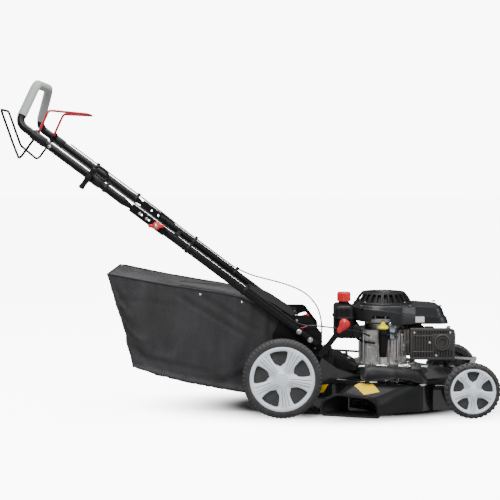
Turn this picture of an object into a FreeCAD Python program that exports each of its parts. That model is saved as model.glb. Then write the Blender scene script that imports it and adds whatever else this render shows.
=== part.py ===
import FreeCAD, Part

import math
import os
from FreeCAD import Vector

# Walk-behind petrol mower, about 1.6 m long over the handle.
# Design axes, in mm: +X is forward, +Y is the mower's left, +Z is up; X = 0 is the rear axle line,
# Y = 0 the middle of the deck and Z = 0 the ground. write_parts() moves the origin to the base's centre.

# ---- driving dimensions -------------------------------------------------------------------------
REAR_R, REAR_W, REAR_Y = 127.0, 45.0, 237.5       # rear wheel: 10 inch tyre, width, middle from centre
FRONT_R, FRONT_W, FRONT_Y = 89.0, 40.0, 240.0     # front wheel: 7 inch tyre
WHEELBASE = 603.0
RIM_R_REAR, RIM_R_FRONT = 103.5, 72.0             # edge of the wheel cover
CRANK = 55.0                                      # arm of the height cranks
CRANK_TILT = 27.5                                 # arm above level at the lowest cut, degrees
LEVER_SWING = 50.0                                # travel of the height lever, degrees
CRANK_Y0, CRANK_Y1 = 209.0, 212.0                 # crank and lever plates lie between these
AXLE_R = 6.0
RUN_GAP = 0.05                                    # radial clearance of a shaft that turns in its hole

SHEET = 2.5                                       # deck steel
DECK_LOW, DECK_TOP, PLATFORM_TOP = 20.0, 118.0, 140.0
BLADE_X, CHAMBER_R = 341.0, 248.0
TUNNEL_Y, FRONT_HALF, FRONT_END = 172.0, 203.0, 628.0
BLADE_R, BLADE_LOW, BLADE_T = 228.0, 38.0, 4.0

TUBE_R, TUBE_WALL = 12.7, 1.6
LOWER_Y, UPPER_Y, UPPER_R = 188.0, 207.0, 13.3
HANDLE_SLOPE = 36.74                              # degrees above level, rising to the rear
HANDLE_Z0 = 312.5                                 # height of the tube's centre line over the rear axle
FOLD_X = -399.0                                   # fold bolt
FOOT_X, FOOT_X2 = 90.0, 54.0                      # foot bolt, which is the pivot, and lock bolt
LOWER_FOLD = 50.0                                 # swing of the lower handle, degrees
FOLD_FLAT = 5.6                                   # half the thickness of the pressed lower end
KNOB_FACE = LOWER_Y + TUBE_R + 2 * FOLD_FLAT + 0.7   # inner face of the fold knob

BRAKE_PIVOT = Vector(-777.0, 0, 906.0)
DRIVE_PIVOT = Vector(-787.0, 0, 889.0)
BAIL_R = 4.0
GRIP_R = 14.0

GUIDE_X = -592.0                                  # starter grip's guide
CABLE_R = 2.5
UPPER_LIFT, LOWER_LIFT = 17.0, 15.6               # cables above the tubes' centre lines

BAG_WALL = 3.0
BAG_FRONT_HALF, BAG_REAR_HALF = 164.0, 212.0
FLAP_HINGE = Vector(48.0, 0, 305.2)
PORT_X, PORT_Y, PORT_R = 156.0, -146.0, 7.5       # deck-wash nipple
SIDE_HINGE = Vector(247.0, -226.0, 164.0)         # rear end of the side flap's hinge line
SIDE_POSTS = (300.0, 372.0)                       # where the posts of the side flap's pin start

X_AXIS, Y_AXIS, Z_AXIS = Vector(1, 0, 0), Vector(0, 1, 0), Vector(0, 0, 1)
ORIGIN = Vector(0, 0, 0)


# ---- small makers -------------------------------------------------------------------------------
def block(x0, x1, y0, y1, z0, z1):
    return Part.makeBox(x1 - x0, y1 - y0, z1 - z0, Vector(x0, y0, z0))


def rod(start, axis, radius, length):
    return Part.makeCylinder(radius, length, start, axis)


def bushing(start, axis, radius, bore, length):
    return rod(start, axis, radius, length).cut(rod(start, axis, bore, length))


def cone(start, axis, low_radius, high_radius, length):
    return Part.makeCone(low_radius, high_radius, length, start, axis)


def join(shapes):
    shapes = list(shapes)
    return shapes[0].multiFuse(shapes[1:]).removeSplitter()


def group(shapes):
    return Part.makeCompound(list(shapes))


def mirrored(shape):
    return shape.mirror(ORIGIN, Y_AXIS)


def both_sides(shape):
    return [shape, mirrored(shape)]


def turned(shape, centre, axis, degrees):
    copy = shape.copy()
    copy.rotate(centre, axis, degrees)
    return copy


def path(points, radii, closed=False):
    """Straight runs joined by tangent arcs; radii has one value, or one for each corner."""
    points = [Vector(p) for p in points]
    count = len(points)
    corners = range(count) if closed else range(1, count - 1)
    if not isinstance(radii, (list, tuple)):
        radii = [radii] * len(corners)
    joins = {}
    for corner, radius in zip(corners, radii):
        before, here, after = points[corner - 1], points[corner], points[(corner + 1) % count]
        arrive, leave = (here - before).normalize(), (after - here).normalize()
        turn = arrive.getAngle(leave)
        if radius <= 0 or turn < 1e-4:
            joins[corner] = (here, None, here)
            continue
        back = radius * math.tan(turn / 2)
        bulge = radius / math.cos(turn / 2) - radius
        middle = here + (leave - arrive).normalize() * bulge
        joins[corner] = (here - arrive * back, middle, here + leave * back)
    if not closed:
        joins[0] = (points[0], None, points[0])
        joins[count - 1] = (points[-1], None, points[-1])
    edges = []
    for index in range(count):
        enter, middle, leave = joins[index]
        if middle is not None:
            edges.append(Part.Arc(enter, middle, leave).toShape())
        if index + 1 < count or closed:
            following = joins[(index + 1) % count][0]
            if leave.distanceToPoint(following) > 1e-6:
                edges.append(Part.LineSegment(leave, following).toShape())
    return Part.Wire(edges)


def plate_xz(points, y0, y1, radii=0):
    """Plate with its outline in the XZ plane."""
    wire = path([Vector(x, y0, z) for x, z in points], radii, closed=True)
    return Part.Face(wire).extrude(Vector(0, y1 - y0, 0))


def plate_xy(points, z0, z1, radii=0):
    wire = path([Vector(x, y, z0) for x, y in points], radii, closed=True)
    return Part.Face(wire).extrude(Vector(0, 0, z1 - z0))


def plate_yz(points, x0, x1, radii=0):
    wire = path([Vector(x0, y, z) for y, z in points], radii, closed=True)
    return Part.Face(wire).extrude(Vector(x1 - x0, 0, 0))


def sweep(wire, radius):
    """Round bar along a path of lines and arcs."""
    start = wire.OrderedVertexes[0].Point
    heading = wire.OrderedEdges[0].tangentAt(wire.OrderedEdges[0].FirstParameter)
    ring = Part.Wire([Part.Circle(start, heading, radius).toShape()])
    return wire.makePipeShell([ring], True, False)


def bent_tube(points, radii, radius, wall):
    wire = path(points, radii)
    return sweep(wire, radius).cut(sweep(wire, radius - wall))


def lathe(profile, centre, axis=Z_AXIS):
    """Turned part; profile is (radius, height) pairs along axis."""
    points = [Vector(radius, 0, height) for radius, height in profile]
    solid = Part.Face(Part.makePolygon(points + points[:1])).revolve(ORIGIN, Z_AXIS, 360)
    solid = Part.makeSolid(solid) if solid.ShapeType == "Shell" else solid
    solid.Placement = FreeCAD.Placement(centre, FreeCAD.Rotation(Z_AXIS, axis))
    return solid


def hex_head(start, axis, across, height):
    corner = across / math.sqrt(3)
    points = [Vector(corner * math.cos(math.radians(60 * i)), corner * math.sin(math.radians(60 * i)), 0)
              for i in range(6)]
    head = Part.Face(Part.makePolygon(points + points[:1])).extrude(Vector(0, 0, height))
    head.Placement = FreeCAD.Placement(start, FreeCAD.Rotation(Z_AXIS, axis))
    return head


def around(shape, centre, axis, count, offset=0.0):
    return [turned(shape, centre, axis, offset + 360.0 * i / count) for i in range(count)]


def mower_left(y):
    return "left" if y > 0 else "right"


# ---- handle line --------------------------------------------------------------------------------
SLOPE = math.radians(HANDLE_SLOPE)
UP_HANDLE = Vector(-math.cos(SLOPE), 0, math.sin(SLOPE))


def on_handle(x, y, lift=0.0):
    """A point of the handle's straight centre line; lift is measured square to it, upwards."""
    square = Vector(math.sin(SLOPE), 0, math.cos(SLOPE))
    return Vector(x, y, HANDLE_Z0 - math.tan(SLOPE) * x) + square * lift


def along_handle(shape, x, y):
    """Place a shape that is drawn with +X up the handle, +Y to the right and +Z square to it."""
    to_handle = FreeCAD.Rotation(UP_HANDLE, Y_AXIS * -1, Z_AXIS, "XZY")
    shape.Placement = FreeCAD.Placement(on_handle(x, y), to_handle) * shape.Placement
    return shape


# ---- axles and wheels ---------------------------------------------------------------------------
REAR_AXLE = Vector(0, 0, REAR_R)
FRONT_AXLE = Vector(WHEELBASE, 0, FRONT_R)
ARM = Vector(CRANK * math.cos(math.radians(CRANK_TILT)), 0, -CRANK * math.sin(math.radians(CRANK_TILT)))
REAR_PIVOT, FRONT_PIVOT = REAR_AXLE + ARM, FRONT_AXLE + ARM
LINK_REACH = 70.0                                  # length of the link's ears
LINK_LEAN = 25.0                                   # their forward lean at rest, degrees
HUB_BORE = AXLE_R + RUN_GAP
PINION_R, RING_GEAR_R = 12.0, 68.0


def link_place(pivot):
    """Where the link rod's pin sits on the crank that turns about this pivot."""
    lean = math.radians(LINK_LEAN)
    return Vector(pivot.x + LINK_REACH * math.sin(lean), 0, pivot.z + LINK_REACH * math.cos(lean))


def crank_plate(pivot, wheel_centre, pivot_bore):
    """Flat arm from the pivot to the wheel's stub, on the mower's right."""
    low, high = -CRANK_Y1, -CRANK_Y0
    arm = join([rod(Vector(pivot.x, low, pivot.z), Y_AXIS, 17, high - low),
                rod(Vector(wheel_centre.x, low, wheel_centre.z), Y_AXIS, 15, high - low),
                plate_xz(arm_outline(pivot, wheel_centre, 15, 13), low, high)])
    return arm.cut(rod(Vector(pivot.x, low, pivot.z), Y_AXIS, pivot_bore, high - low))


def arm_outline(start, end, half_start, half_end):
    along = Vector(end.x - start.x, 0, end.z - start.z).normalize()
    side = Vector(-along.z, 0, along.x)
    corners = [start + side * half_start, end + side * half_end,
               end - side * half_end, start - side * half_start]
    return [(c.x, c.z) for c in corners]


def stub(wheel_centre, wheel_y, wheel_w):
    end = wheel_y + wheel_w / 2 - 6
    return rod(Vector(wheel_centre.x, -end, wheel_centre.z), Y_AXIS, AXLE_R, end - CRANK_Y0)


def link_tab(pivot):
    """Ear on the left crank that carries the link rod."""
    top = link_place(pivot)
    ear = plate_xz(arm_outline(pivot, top, 11, 9), CRANK_Y0, CRANK_Y1)
    return join([ear, rod(Vector(top.x, CRANK_Y0, top.z), Y_AXIS, 9, CRANK_Y1 - CRANK_Y0),
                 rod(Vector(top.x, CRANK_Y0 - 8, top.z), Y_AXIS, 3.5, 9)])


def rear_axle():
    """Cranks that swing on the drive shaft, tied by a cross bar, with the rear wheels' stubs."""
    bore = AXLE_R + RUN_GAP
    crank = join([crank_plate(REAR_PIVOT, REAR_AXLE, bore), stub(REAR_AXLE, REAR_Y, REAR_W)])
    bar_at = REAR_AXLE + Vector(-4, 0, -30)
    web = plate_xz(arm_outline(REAR_AXLE, bar_at, 12, 9), -CRANK_Y1, -CRANK_Y0)
    cross_bar = rod(Vector(bar_at.x, -CRANK_Y0, bar_at.z), Y_AXIS, 6, 2 * CRANK_Y0)
    side = join([crank, web])
    ear = link_tab(REAR_PIVOT).cut(rod(Vector(REAR_PIVOT.x, CRANK_Y0, REAR_PIVOT.z), Y_AXIS, bore, 3))
    return join([side, mirrored(side), cross_bar, ear])


def front_axle():
    """Cross shaft ahead of the deck with a crank at each end."""
    shaft = rod(Vector(FRONT_PIVOT.x, -CRANK_Y0, FRONT_PIVOT.z), Y_AXIS, AXLE_R, 2 * CRANK_Y0)
    crank = join([crank_plate(FRONT_PIVOT, FRONT_AXLE, 0.5), stub(FRONT_AXLE, FRONT_Y, FRONT_W)])
    plug = rod(Vector(FRONT_PIVOT.x, -CRANK_Y1, FRONT_PIVOT.z), Y_AXIS, 8, CRANK_Y1 - CRANK_Y0)
    return join([shaft, crank, plug, mirrored(crank), mirrored(plug), link_tab(FRONT_PIVOT)])


def link_rod():
    """Rod that makes the front cranks follow the rear ones."""
    y0, y1 = CRANK_Y0 - 6.5, CRANK_Y0 - 1.5
    rear, front = link_place(REAR_PIVOT), link_place(FRONT_PIVOT)
    ends = [rod(Vector(p.x, y0, p.z), Y_AXIS, 8, y1 - y0) for p in (rear, front)]
    bar = plate_xz(arm_outline(rear, front, 4, 4), y0, y1)
    bores = [rod(Vector(p.x, y0, p.z), Y_AXIS, 3.5 + RUN_GAP, y1 - y0) for p in (rear, front)]
    return join(ends + [bar]).cut(group(bores))


def tyre(radius, width, rim_radius, centre, y):
    """Moulded tyre with a flat tread and rounded shoulders, seated on the rim."""
    half = width / 2
    seat = rim_radius - 4
    profile = [(seat, -half + 5), (seat + 3, -half + 1), (rim_radius + 6, -half), (radius - 9, -half + 2),
               (radius - 3, -half + 6), (radius, -half + 12), (radius, half - 12), (radius - 3, half - 6),
               (radius - 9, half - 2), (rim_radius + 6, half), (seat + 3, half - 1), (seat, half - 5)]
    return lathe(profile, Vector(centre.x, y, centre.z), Y_AXIS)


def wheel_window(rim_radius, y0, y1):
    """One shield-shaped opening between two spokes, drawn above the hub."""
    inner, outer, half = 0.45 * rim_radius, 0.86 * rim_radius, 0.25 * rim_radius
    outline = [(0, inner), (0.6 * half, inner + 0.1 * rim_radius), (half, 0.8 * rim_radius),
               (0, outer), (-half, 0.8 * rim_radius), (-0.6 * half, inner + 0.1 * rim_radius)]
    radii = [0.08 * rim_radius, 0.1 * rim_radius, 4, 0.5 * rim_radius, 4, 0.1 * rim_radius]
    return plate_xz(outline, y0, y1, radii)


def wheel(width, rim_radius, centre, y, ring_gear):
    """Moulded wheel: domed five-spoke face outwards, drum and hub behind it."""
    half = width / 2
    outward = 1 if y > 0 else -1
    seat = rim_radius - 4.2
    face = [(HUB_BORE, half - 9), (0.2 * rim_radius, half - 7), (0.72 * rim_radius, half - 9),
            (seat, half - 7), (seat, half - 4), (rim_radius - 1, half - 0.5), (0.9 * rim_radius, half + 2),
            (0.7 * rim_radius, half - 4), (0.24 * rim_radius, half + 1), (HUB_BORE, half + 1)]
    disc = lathe(face, ORIGIN, Y_AXIS)
    window = wheel_window(rim_radius, half - 30, half + 12)
    disc = disc.cut(group(around(window, ORIGIN, Y_AXIS, 5, 10)))
    drum = lathe([(seat, -half + 5.2), (seat, half - 6), (seat - 3, half - 6), (seat - 3, -half + 5.2)],
                 ORIGIN, Y_AXIS)
    back = lathe([(HUB_BORE, half - 22), (seat - 1, half - 22), (seat - 1, half - 19), (HUB_BORE, half - 19)],
                 ORIGIN, Y_AXIS)
    hub_start = half - 19 if ring_gear else -half + 2
    hub = bushing(Vector(0, hub_start, 0), Y_AXIS, 16, HUB_BORE, half - 8 - hub_start)
    pieces = [disc, drum, back, hub]
    if ring_gear:
        pieces.append(lathe([(RING_GEAR_R, -half + 3), (RING_GEAR_R + 4, -half + 3),
                             (RING_GEAR_R + 4, half - 20), (RING_GEAR_R, half - 20)], ORIGIN, Y_AXIS))
        pieces.append(bushing(Vector(0, -half + 4, 0), Y_AXIS, 12, HUB_BORE, half - 18 + half - 4))
    solid = join(pieces)
    if outward < 0:
        solid = turned(solid, ORIGIN, Z_AXIS, 180)
    solid.translate(Vector(centre.x, y, centre.z))
    return solid


def wheels_and_tyres():
    made = {}
    for side in (-1, 1):
        name = mower_left(side)
        made["rear_tyre_" + name] = tyre(REAR_R, REAR_W, RIM_R_REAR, REAR_AXLE, side * REAR_Y)
        made["front_tyre_" + name] = tyre(FRONT_R, FRONT_W, RIM_R_FRONT, FRONT_AXLE, side * FRONT_Y)
        made["rear_wheel_" + name] = wheel(REAR_W, RIM_R_REAR, REAR_AXLE, side * REAR_Y, True)
        made["front_wheel_" + name] = wheel(FRONT_W, RIM_R_FRONT, FRONT_AXLE, side * FRONT_Y, False)
    return made


# ---- deck ---------------------------------------------------------------------------------------
def deck_form(inset):
    """The deck's pressed form, smaller all round by inset and open downwards when inset is not zero."""
    low = DECK_LOW - (5 if inset else 0)
    bowl = rod(Vector(BLADE_X, 0, low), Z_AXIS, CHAMBER_R - inset, DECK_TOP - inset - low)
    bowl = bowl.makeFillet(22 - inset, [bowl.Edges[i] for i in rim_edges(bowl, DECK_TOP - inset)])
    platform = cone(Vector(BLADE_X, 0, DECK_TOP - inset - 1), Z_AXIS, 150 - inset, 128 - inset,
                    PLATFORM_TOP - DECK_TOP + 1)
    half = FRONT_HALF - inset
    front = FRONT_END - inset
    nose = plate_xy([(BLADE_X, -half), (front, -half), (front, half), (BLADE_X, half)],
                    low, DECK_TOP - 14 - inset, [0, 60, 60, 0])
    nose = nose.makeFillet(20 - inset, [nose.Edges[i] for i in rim_edges(nose, DECK_TOP - 14 - inset)][1:])
    roof = [(BLADE_X, low), (BLADE_X, DECK_TOP - inset), (236, 128 - inset), (176, 150 - inset),
            (124 - inset, 188 - inset), (94 - inset, 224), (58 - inset, 255 - inset)]
    if inset:
        profile = roof + [(10, 282 - inset), (10, 150 + inset), (84, 148), (150, low)]
    else:
        profile = roof + [(12, 282), (12, 150), (34, 150), (34, 64), (120, low)]
    width = TUNNEL_Y - inset
    tunnel = plate_xz(profile, -width, width)
    return bowl, platform, nose, tunnel


def rim_edges(solid, height):
    """Indexes of the edges that lie all in the plane at this height."""
    found = []
    for index, edge in enumerate(solid.Edges):
        if abs(edge.BoundBox.ZMin - height) < 1e-3 and abs(edge.BoundBox.ZMax - height) < 1e-3:
            found.append(index)
    return found


def deck_shell():
    """Pressed steel deck: round cutting chamber, flat nose, rear tunnel and engine platform."""
    outside = join(deck_form(0))
    outside = outside.fuse(front_brackets()).removeSplitter()
    inside = join(deck_form(SHEET))
    shell = outside.cut(inside)
    undercut = plate_xz([(0, 40), (0, 147), (80, 145), (128, 52), (128, 10), (0, 10)],
                        -TUNNEL_Y + SHEET, TUNNEL_Y - SHEET)
    side_door = block(215, 430, -CHAMBER_R - 5, -190, 30, 92)
    crank_hole = rod(Vector(BLADE_X, 0, 100), Z_AXIS, 30, 60)
    shaft_holes = rod(Vector(REAR_PIVOT.x, -TUNNEL_Y - 5, REAR_PIVOT.z), Y_AXIS, AXLE_R + RUN_GAP,
                      2 * TUNNEL_Y + 10)
    belt_slot = block(20, 200, -46, 46, 60, 146)
    port_hole = rod(Vector(PORT_X, PORT_Y, 120), Z_AXIS, 4, 100)
    bolt_holes = [rod(Vector(x, y, 110), Z_AXIS, 4.05, 40) for x, y in engine_bolt_places()]
    for tool in [undercut, side_door, crank_hole, shaft_holes, belt_slot, port_hole] + bolt_holes:
        shell = shell.cut(tool)
    return shell


def front_brackets():
    """Two ears on the nose that carry the front cross shaft."""
    ears = []
    for y in (-170, 166):
        ear = plate_xz([(FRONT_END - 30, 36), (FRONT_PIVOT.x + 8, 42), (FRONT_PIVOT.x + 18, 60),
                        (FRONT_PIVOT.x + 8, 84), (FRONT_END - 30, 98)], y, y + 4, [0, 8, 14, 12, 0])
        ears.append(ear.cut(rod(Vector(FRONT_PIVOT.x, y - 1, FRONT_PIVOT.z), Y_AXIS, AXLE_R + RUN_GAP, 6)))
    return group(ears)


def engine_bolt_places():
    return [(BLADE_X + 97 * math.cos(math.radians(a)), 97 * math.sin(math.radians(a))) for a in (0, 118, 242)]


def handle_brackets():
    """Side plates on the tunnel that carry the handle's feet; the right one is notched for the lever."""
    low, high = -TUNNEL_Y - 3, -TUNNEL_Y
    outline = [(-30, 158), (-30, 262), (6, 322), (84, 322), (130, 262), (130, 200), (112, 120),
               (76, 76), (26, 76)]
    plate = plate_xz(outline, low, high, [10, 10, 20, 20, 14, 10, 14, 14, 14])
    holes = [rod(on_handle(FOOT_X, low - 1), Y_AXIS, 4.02, 6), fold_slot(low - 1)]
    holes.append(rod(Vector(REAR_PIVOT.x, low - 1, REAR_PIVOT.z), Y_AXIS, AXLE_R + 3, 6))
    holes.append(rod(Vector(FLAP_HINGE.x, low - 1, FLAP_HINGE.z), Y_AXIS, 4.02, 6))
    plate = plate.cut(group(holes))
    notches = []
    for step in range(6):
        angle = math.radians(53 + step * LEVER_SWING / 5)
        spot = REAR_PIVOT + Vector(math.cos(angle), 0, math.sin(angle)) * 128
        notches.append(rod(Vector(spot.x, low - 1, spot.z), Y_AXIS, 3.2, 6))
    return group([plate.cut(group(notches)), mirrored(plate)])


def fold_slot(y):
    """Arc slot that lets the lock bolt swing round the foot bolt as the handle folds."""
    pivot, lock = on_handle(FOOT_X, y), on_handle(FOOT_X2, y)
    arc = [lock]
    for degrees in (LOWER_FOLD / 2, LOWER_FOLD):
        arc.append(pivot + FreeCAD.Rotation(Y_AXIS, degrees).multVec(lock - pivot))
    reach, half = lock.distanceToPoint(pivot), 4.4
    sides = []
    for radius in (reach + half, reach - half):
        spots = [pivot + (p - pivot).normalize() * radius for p in arc]
        sides.append(Part.Arc(*spots).toShape())
    caps = []
    for end in (0, 1):
        caps.append(Part.LineSegment(sides[0].Vertexes[end].Point, sides[1].Vertexes[end].Point).toShape())
    outline = Part.Wire(Part.__sortEdges__([sides[0], caps[1], sides[1], caps[0]]))
    slot = Part.Face(outline).extrude(Y_AXIS * 6)
    return join([slot, rod(arc[0], Y_AXIS, half, 6), rod(arc[2], Y_AXIS, half, 6)])


def wash_port():
    """Hose nipple for rinsing the deck, on a round flange that is shaped to the tunnel's slope."""
    foot = Vector(PORT_X, PORT_Y, 160)
    body = join([rod(foot, Z_AXIS, 14, 22), rod(foot, Z_AXIS, 10, 30), rod(foot, Z_AXIS, PORT_R, 58)])
    nipple = body.cut(deck_form(0)[3])
    return nipple.cut(rod(foot - Vector(0, 0, 1), Z_AXIS, 4, 60))


def side_chute():
    """Side-discharge chute: tapering plastic duct, open at the mouth and at the deck."""
    def duct(inset, reach):
        inner = [(204 + inset, 24 + inset), (446 - inset, 24 + inset), (446 - inset, 112 - inset),
                 (216 + inset, 112 - inset)]
        outer = [(124 + inset, 14 + inset), (302 - inset, 14 + inset), (296 - inset, 62), (240, 84 - inset),
                 (128 + inset, 88 - inset)]
        inner = inner[:2] + [(446 - inset, 84), inner[2], inner[3]]
        near = path([Vector(x, -250 + reach, z) for x, z in inner], 0, closed=True)
        far = path([Vector(x, -326 - reach, z) for x, z in outer], 0, closed=True)
        return Part.makeLoft([near, far], True, True)
    return duct(0, 0).cut(duct(3, 1))


def side_flap():
    """Curved cover over the side opening, lifted and resting above the chute."""
    top = SIDE_HINGE.y
    profile = [(top, 164), (top - 20, 160), (top - 34, 144), (top - 40, 118)]
    outer = [Vector(0, y, z) for y, z in profile]
    inner = [Vector(0, y + 3.2 * (i > 0), z - 3.2 * (i < 3)) for i, (y, z) in enumerate(profile)]
    wire = path(outer + inner[::-1], [0, 16, 24, 0, 0, 20, 14, 0], closed=True)
    skin = Part.Face(wire).extrude(Vector(210, 0, 0))
    skin.translate(Vector(SIDE_HINGE.x, 0, 0))
    knuckles = [rod(Vector(x, SIDE_HINGE.y, SIDE_HINGE.z), X_AXIS, 6.5, 34) for x in (262, 334, 408)]
    gaps = [block(x - 1, x + 29, SIDE_HINGE.y - 7, SIDE_HINGE.y + 8, 150, 175) for x in SIDE_POSTS]
    flap = join([skin.cut(group(gaps))] + knuckles)
    return flap.cut(rod(SIDE_HINGE - X_AXIS * 40, X_AXIS, 3 + RUN_GAP, 300))


def flap_pins():
    """Hinge pins of the side flap and the rear flap, each with its two carriers."""
    side_pin = rod(SIDE_HINGE - X_AXIS * 4, X_AXIS, 3, 218)
    side_posts = []
    for x in SIDE_POSTS:
        side_posts.append(plate_yz([(SIDE_HINGE.y - 5, 159), (SIDE_HINGE.y + 5, 172),
                                    (SIDE_HINGE.y + 44, DECK_TOP + 0.1), (SIDE_HINGE.y + 8, DECK_TOP + 0.1)],
                                   x, x + 28, [4, 4, 0, 0]))
    rear_pin = rod(Vector(FLAP_HINGE.x, -TUNNEL_Y - 3, FLAP_HINGE.z), Y_AXIS, 4, 2 * TUNNEL_Y + 6)
    return group([join([side_pin] + side_posts), rear_pin])


def rear_flap():
    """Sprung flap over the tunnel's rear opening, resting above the bag."""
    tip = Vector(-111, 0, 392)
    along = (tip - FLAP_HINGE).normalize()
    square = Vector(along.z * -1, 0, along.x) * -1
    start = FLAP_HINGE + along * 8
    corners = [start, start + (tip - start) * 0.55 + square * 8, tip, tip + square * 3.5,
               start + (tip - start) * 0.55 + square * 11.5, start + square * 3.5]
    panel = plate_xz([(c.x, c.z) for c in corners], -158, 158, [0, 160, 0, 0, 160, 0])
    skirt_outline = [(start.x, start.z), (tip.x, tip.z), (tip.x - 3, tip.z - 14), (start.x - 14, start.z - 6)]
    skirts = [plate_xz(skirt_outline, y, y + 3) for y in (-158, 155)]
    knuckles = [rod(Vector(FLAP_HINGE.x, y, FLAP_HINGE.z), Y_AXIS, 9, 40) for y in (-150, -20, 110)]
    flap = join([panel] + skirts + knuckles)
    flap = flap.cut(rod(Vector(FLAP_HINGE.x, -109, FLAP_HINGE.z), Y_AXIS, 11, 30))
    return flap.cut(rod(Vector(FLAP_HINGE.x, -200, FLAP_HINGE.z), Y_AXIS, 4 + RUN_GAP, 400))


def rear_flap_spring():
    """Torsion spring coiled round the rear flap's pin."""
    coils = []
    for turn in range(6):
        centre = Vector(FLAP_HINGE.x, -104 + turn * 4.2, FLAP_HINGE.z)
        coils.append(Part.makeTorus(7.2, 1.4, centre, Y_AXIS))
    return group(coils)


# ---- height adjustment --------------------------------------------------------------------------
LEVER_LENGTH = 236.0
LEVER_ANGLE = 53.0


def on_lever(shape):
    """Place a shape drawn with +X up the lever from the rear pivot."""
    shape.rotate(ORIGIN, Y_AXIS, -LEVER_ANGLE)
    shape.translate(Vector(REAR_PIVOT.x, 0, REAR_PIVOT.z))
    return shape


def height_lever():
    """Flat lever bolted to the right crank, cranked outwards over the wheel."""
    inner, outer = -CRANK_Y0, -CRANK_Y1
    strip = [(17.1, inner), (96, inner), (118, inner - 12), (LEVER_LENGTH, inner - 12),
             (LEVER_LENGTH, outer - 12), (116, outer - 12), (94, outer), (17.1, outer)]
    bar = plate_xy(strip, -9, 9)
    return on_lever(bar)


def height_grip():
    """Ridged pear-shaped hand grip at the lever's end."""
    middle = -CRANK_Y0 - 13.5
    profile = [(0, -26), (8, -26), (10, -18), (13, 0), (16.5, 14), (16, 24), (10, 32), (0, 34)]
    grip = lathe(profile, Vector(LEVER_LENGTH, middle, 0), X_AXIS)
    ridges = [Part.makeTorus(13.2 + i * 0.9, 1.2, Vector(LEVER_LENGTH - 4 + i * 6, middle, 0), X_AXIS)
              for i in range(5)]
    grip = grip.cut(group(ridges[:1] + ridges[2:3] + ridges[4:]))
    slot = block(LEVER_LENGTH - 40, LEVER_LENGTH, -CRANK_Y1 - 12, -CRANK_Y0 - 12, -9, 9)
    return on_lever(grip.cut(slot))


# ---- engine -------------------------------------------------------------------------------------
FILLER_X, FILLER_Y = 331.0, -110.0                 # the oil filler's axis
FILLER_FOOT = PLATFORM_TOP + 26
FILLER_TOP = FILLER_FOOT + 104
CAP_X, CAP_Y = 206.0, -60.0                        # the fuel filler's axis
CYLINDER_Z = 222.0
OUTLET_X, OUTLET_Z, OUTLET_BORE = 521.0, 230.0, 14.5


def crankcase():
    """Cast aluminium crankcase with stiffening columns, a wide mounting flange and the filler's boss."""
    flange = rod(Vector(BLADE_X, 0, PLATFORM_TOP), Z_AXIS, 108, 12)
    body = plate_xy([(262, -76), (416, -76), (416, 76), (262, 76)], PLATFORM_TOP + 12, 262, 34)
    neck = rod(Vector(BLADE_X, 0, 262), Z_AXIS, 62, 18)
    columns = [rod(Vector(x, -76, PLATFORM_TOP + 12), Z_AXIS, 5, 96) for x in (312, 374, 388)]
    boss = rod(Vector(FILLER_X, FILLER_Y, PLATFORM_TOP + 12), Z_AXIS, 15, 26)
    rib = block(FILLER_X - 5, FILLER_X + 5, FILLER_Y + 2, -74, PLATFORM_TOP + 12, PLATFORM_TOP + 36)
    case = join([flange, body, neck, boss, rib] + columns)
    small_holes = [rod(Vector(x, y, 110), Z_AXIS, 4.05, 60) for x, y in engine_bolt_places()]
    small_holes.append(rod(Vector(FILLER_X, FILLER_Y, FILLER_FOOT), Z_AXIS, 9, 20))
    shaft_hole = rod(Vector(BLADE_X, 0, 100), Z_AXIS, 14 + RUN_GAP, 200)
    hollow = rod(Vector(BLADE_X, 0, PLATFORM_TOP + 20), Z_AXIS, 56, 100)
    return case.cut(shaft_hole).cut(group(small_holes)).cut(hollow)


def cylinder():
    """Finned cylinder lying forward of the crankcase."""
    start = Vector(416, 0, CYLINDER_Z)
    barrel = rod(start, X_AXIS, 36, 70)
    fin_outline = [(-56, 178), (56, 178), (56, 266), (-56, 266)]
    fins = [plate_yz(fin_outline, x, x + 2.5, 12) for x in range(421, 482, 9)]
    return join([barrel] + fins).cut(rod(start, X_AXIS, 30, 60))


def cylinder_head():
    """Head with fins and a rounded rocker cover."""
    head = plate_yz([(-52, 182), (52, 182), (52, 262), (-52, 262)], 486, 512, 10)
    cover = plate_yz([(-42, 188), (42, 188), (42, 256), (-42, 256)], 512, 540, 16)
    cover = cover.makeFillet(8, [e for e in cover.Edges if abs(e.BoundBox.XMin - 540) < 1e-3])
    grooves = [block(x, x + 3, -60, 60, 170, 190) for x in (491, 499, 507)]
    return join([head, cover]).cut(group(grooves))


def spark_plug():
    """Spark plug with its rubber boot, on the head's left."""
    profile = [(0, 0), (9, 0), (9, 8), (5.5, 9), (5.5, 16), (9.5, 17), (11, 24), (10, 46), (6, 50), (0, 50)]
    return lathe(profile, Vector(499, 52, CYLINDER_Z), Y_AXIS)


def muffler():
    """Pressed steel silencer on the head's right, with its outlet."""
    can = plate_xz([(432, 186), (552, 186), (552, 262), (432, 262)], -108, -62, 14)
    mouth = Vector(OUTLET_X, -142, OUTLET_Z)
    outlet = bushing(mouth, Y_AXIS, 18, OUTLET_BORE, 36)
    neck = block(490, 508, -62, -52, 210, 234)
    return join([can, outlet, neck]).cut(rod(mouth, Y_AXIS, OUTLET_BORE, 50))


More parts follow.
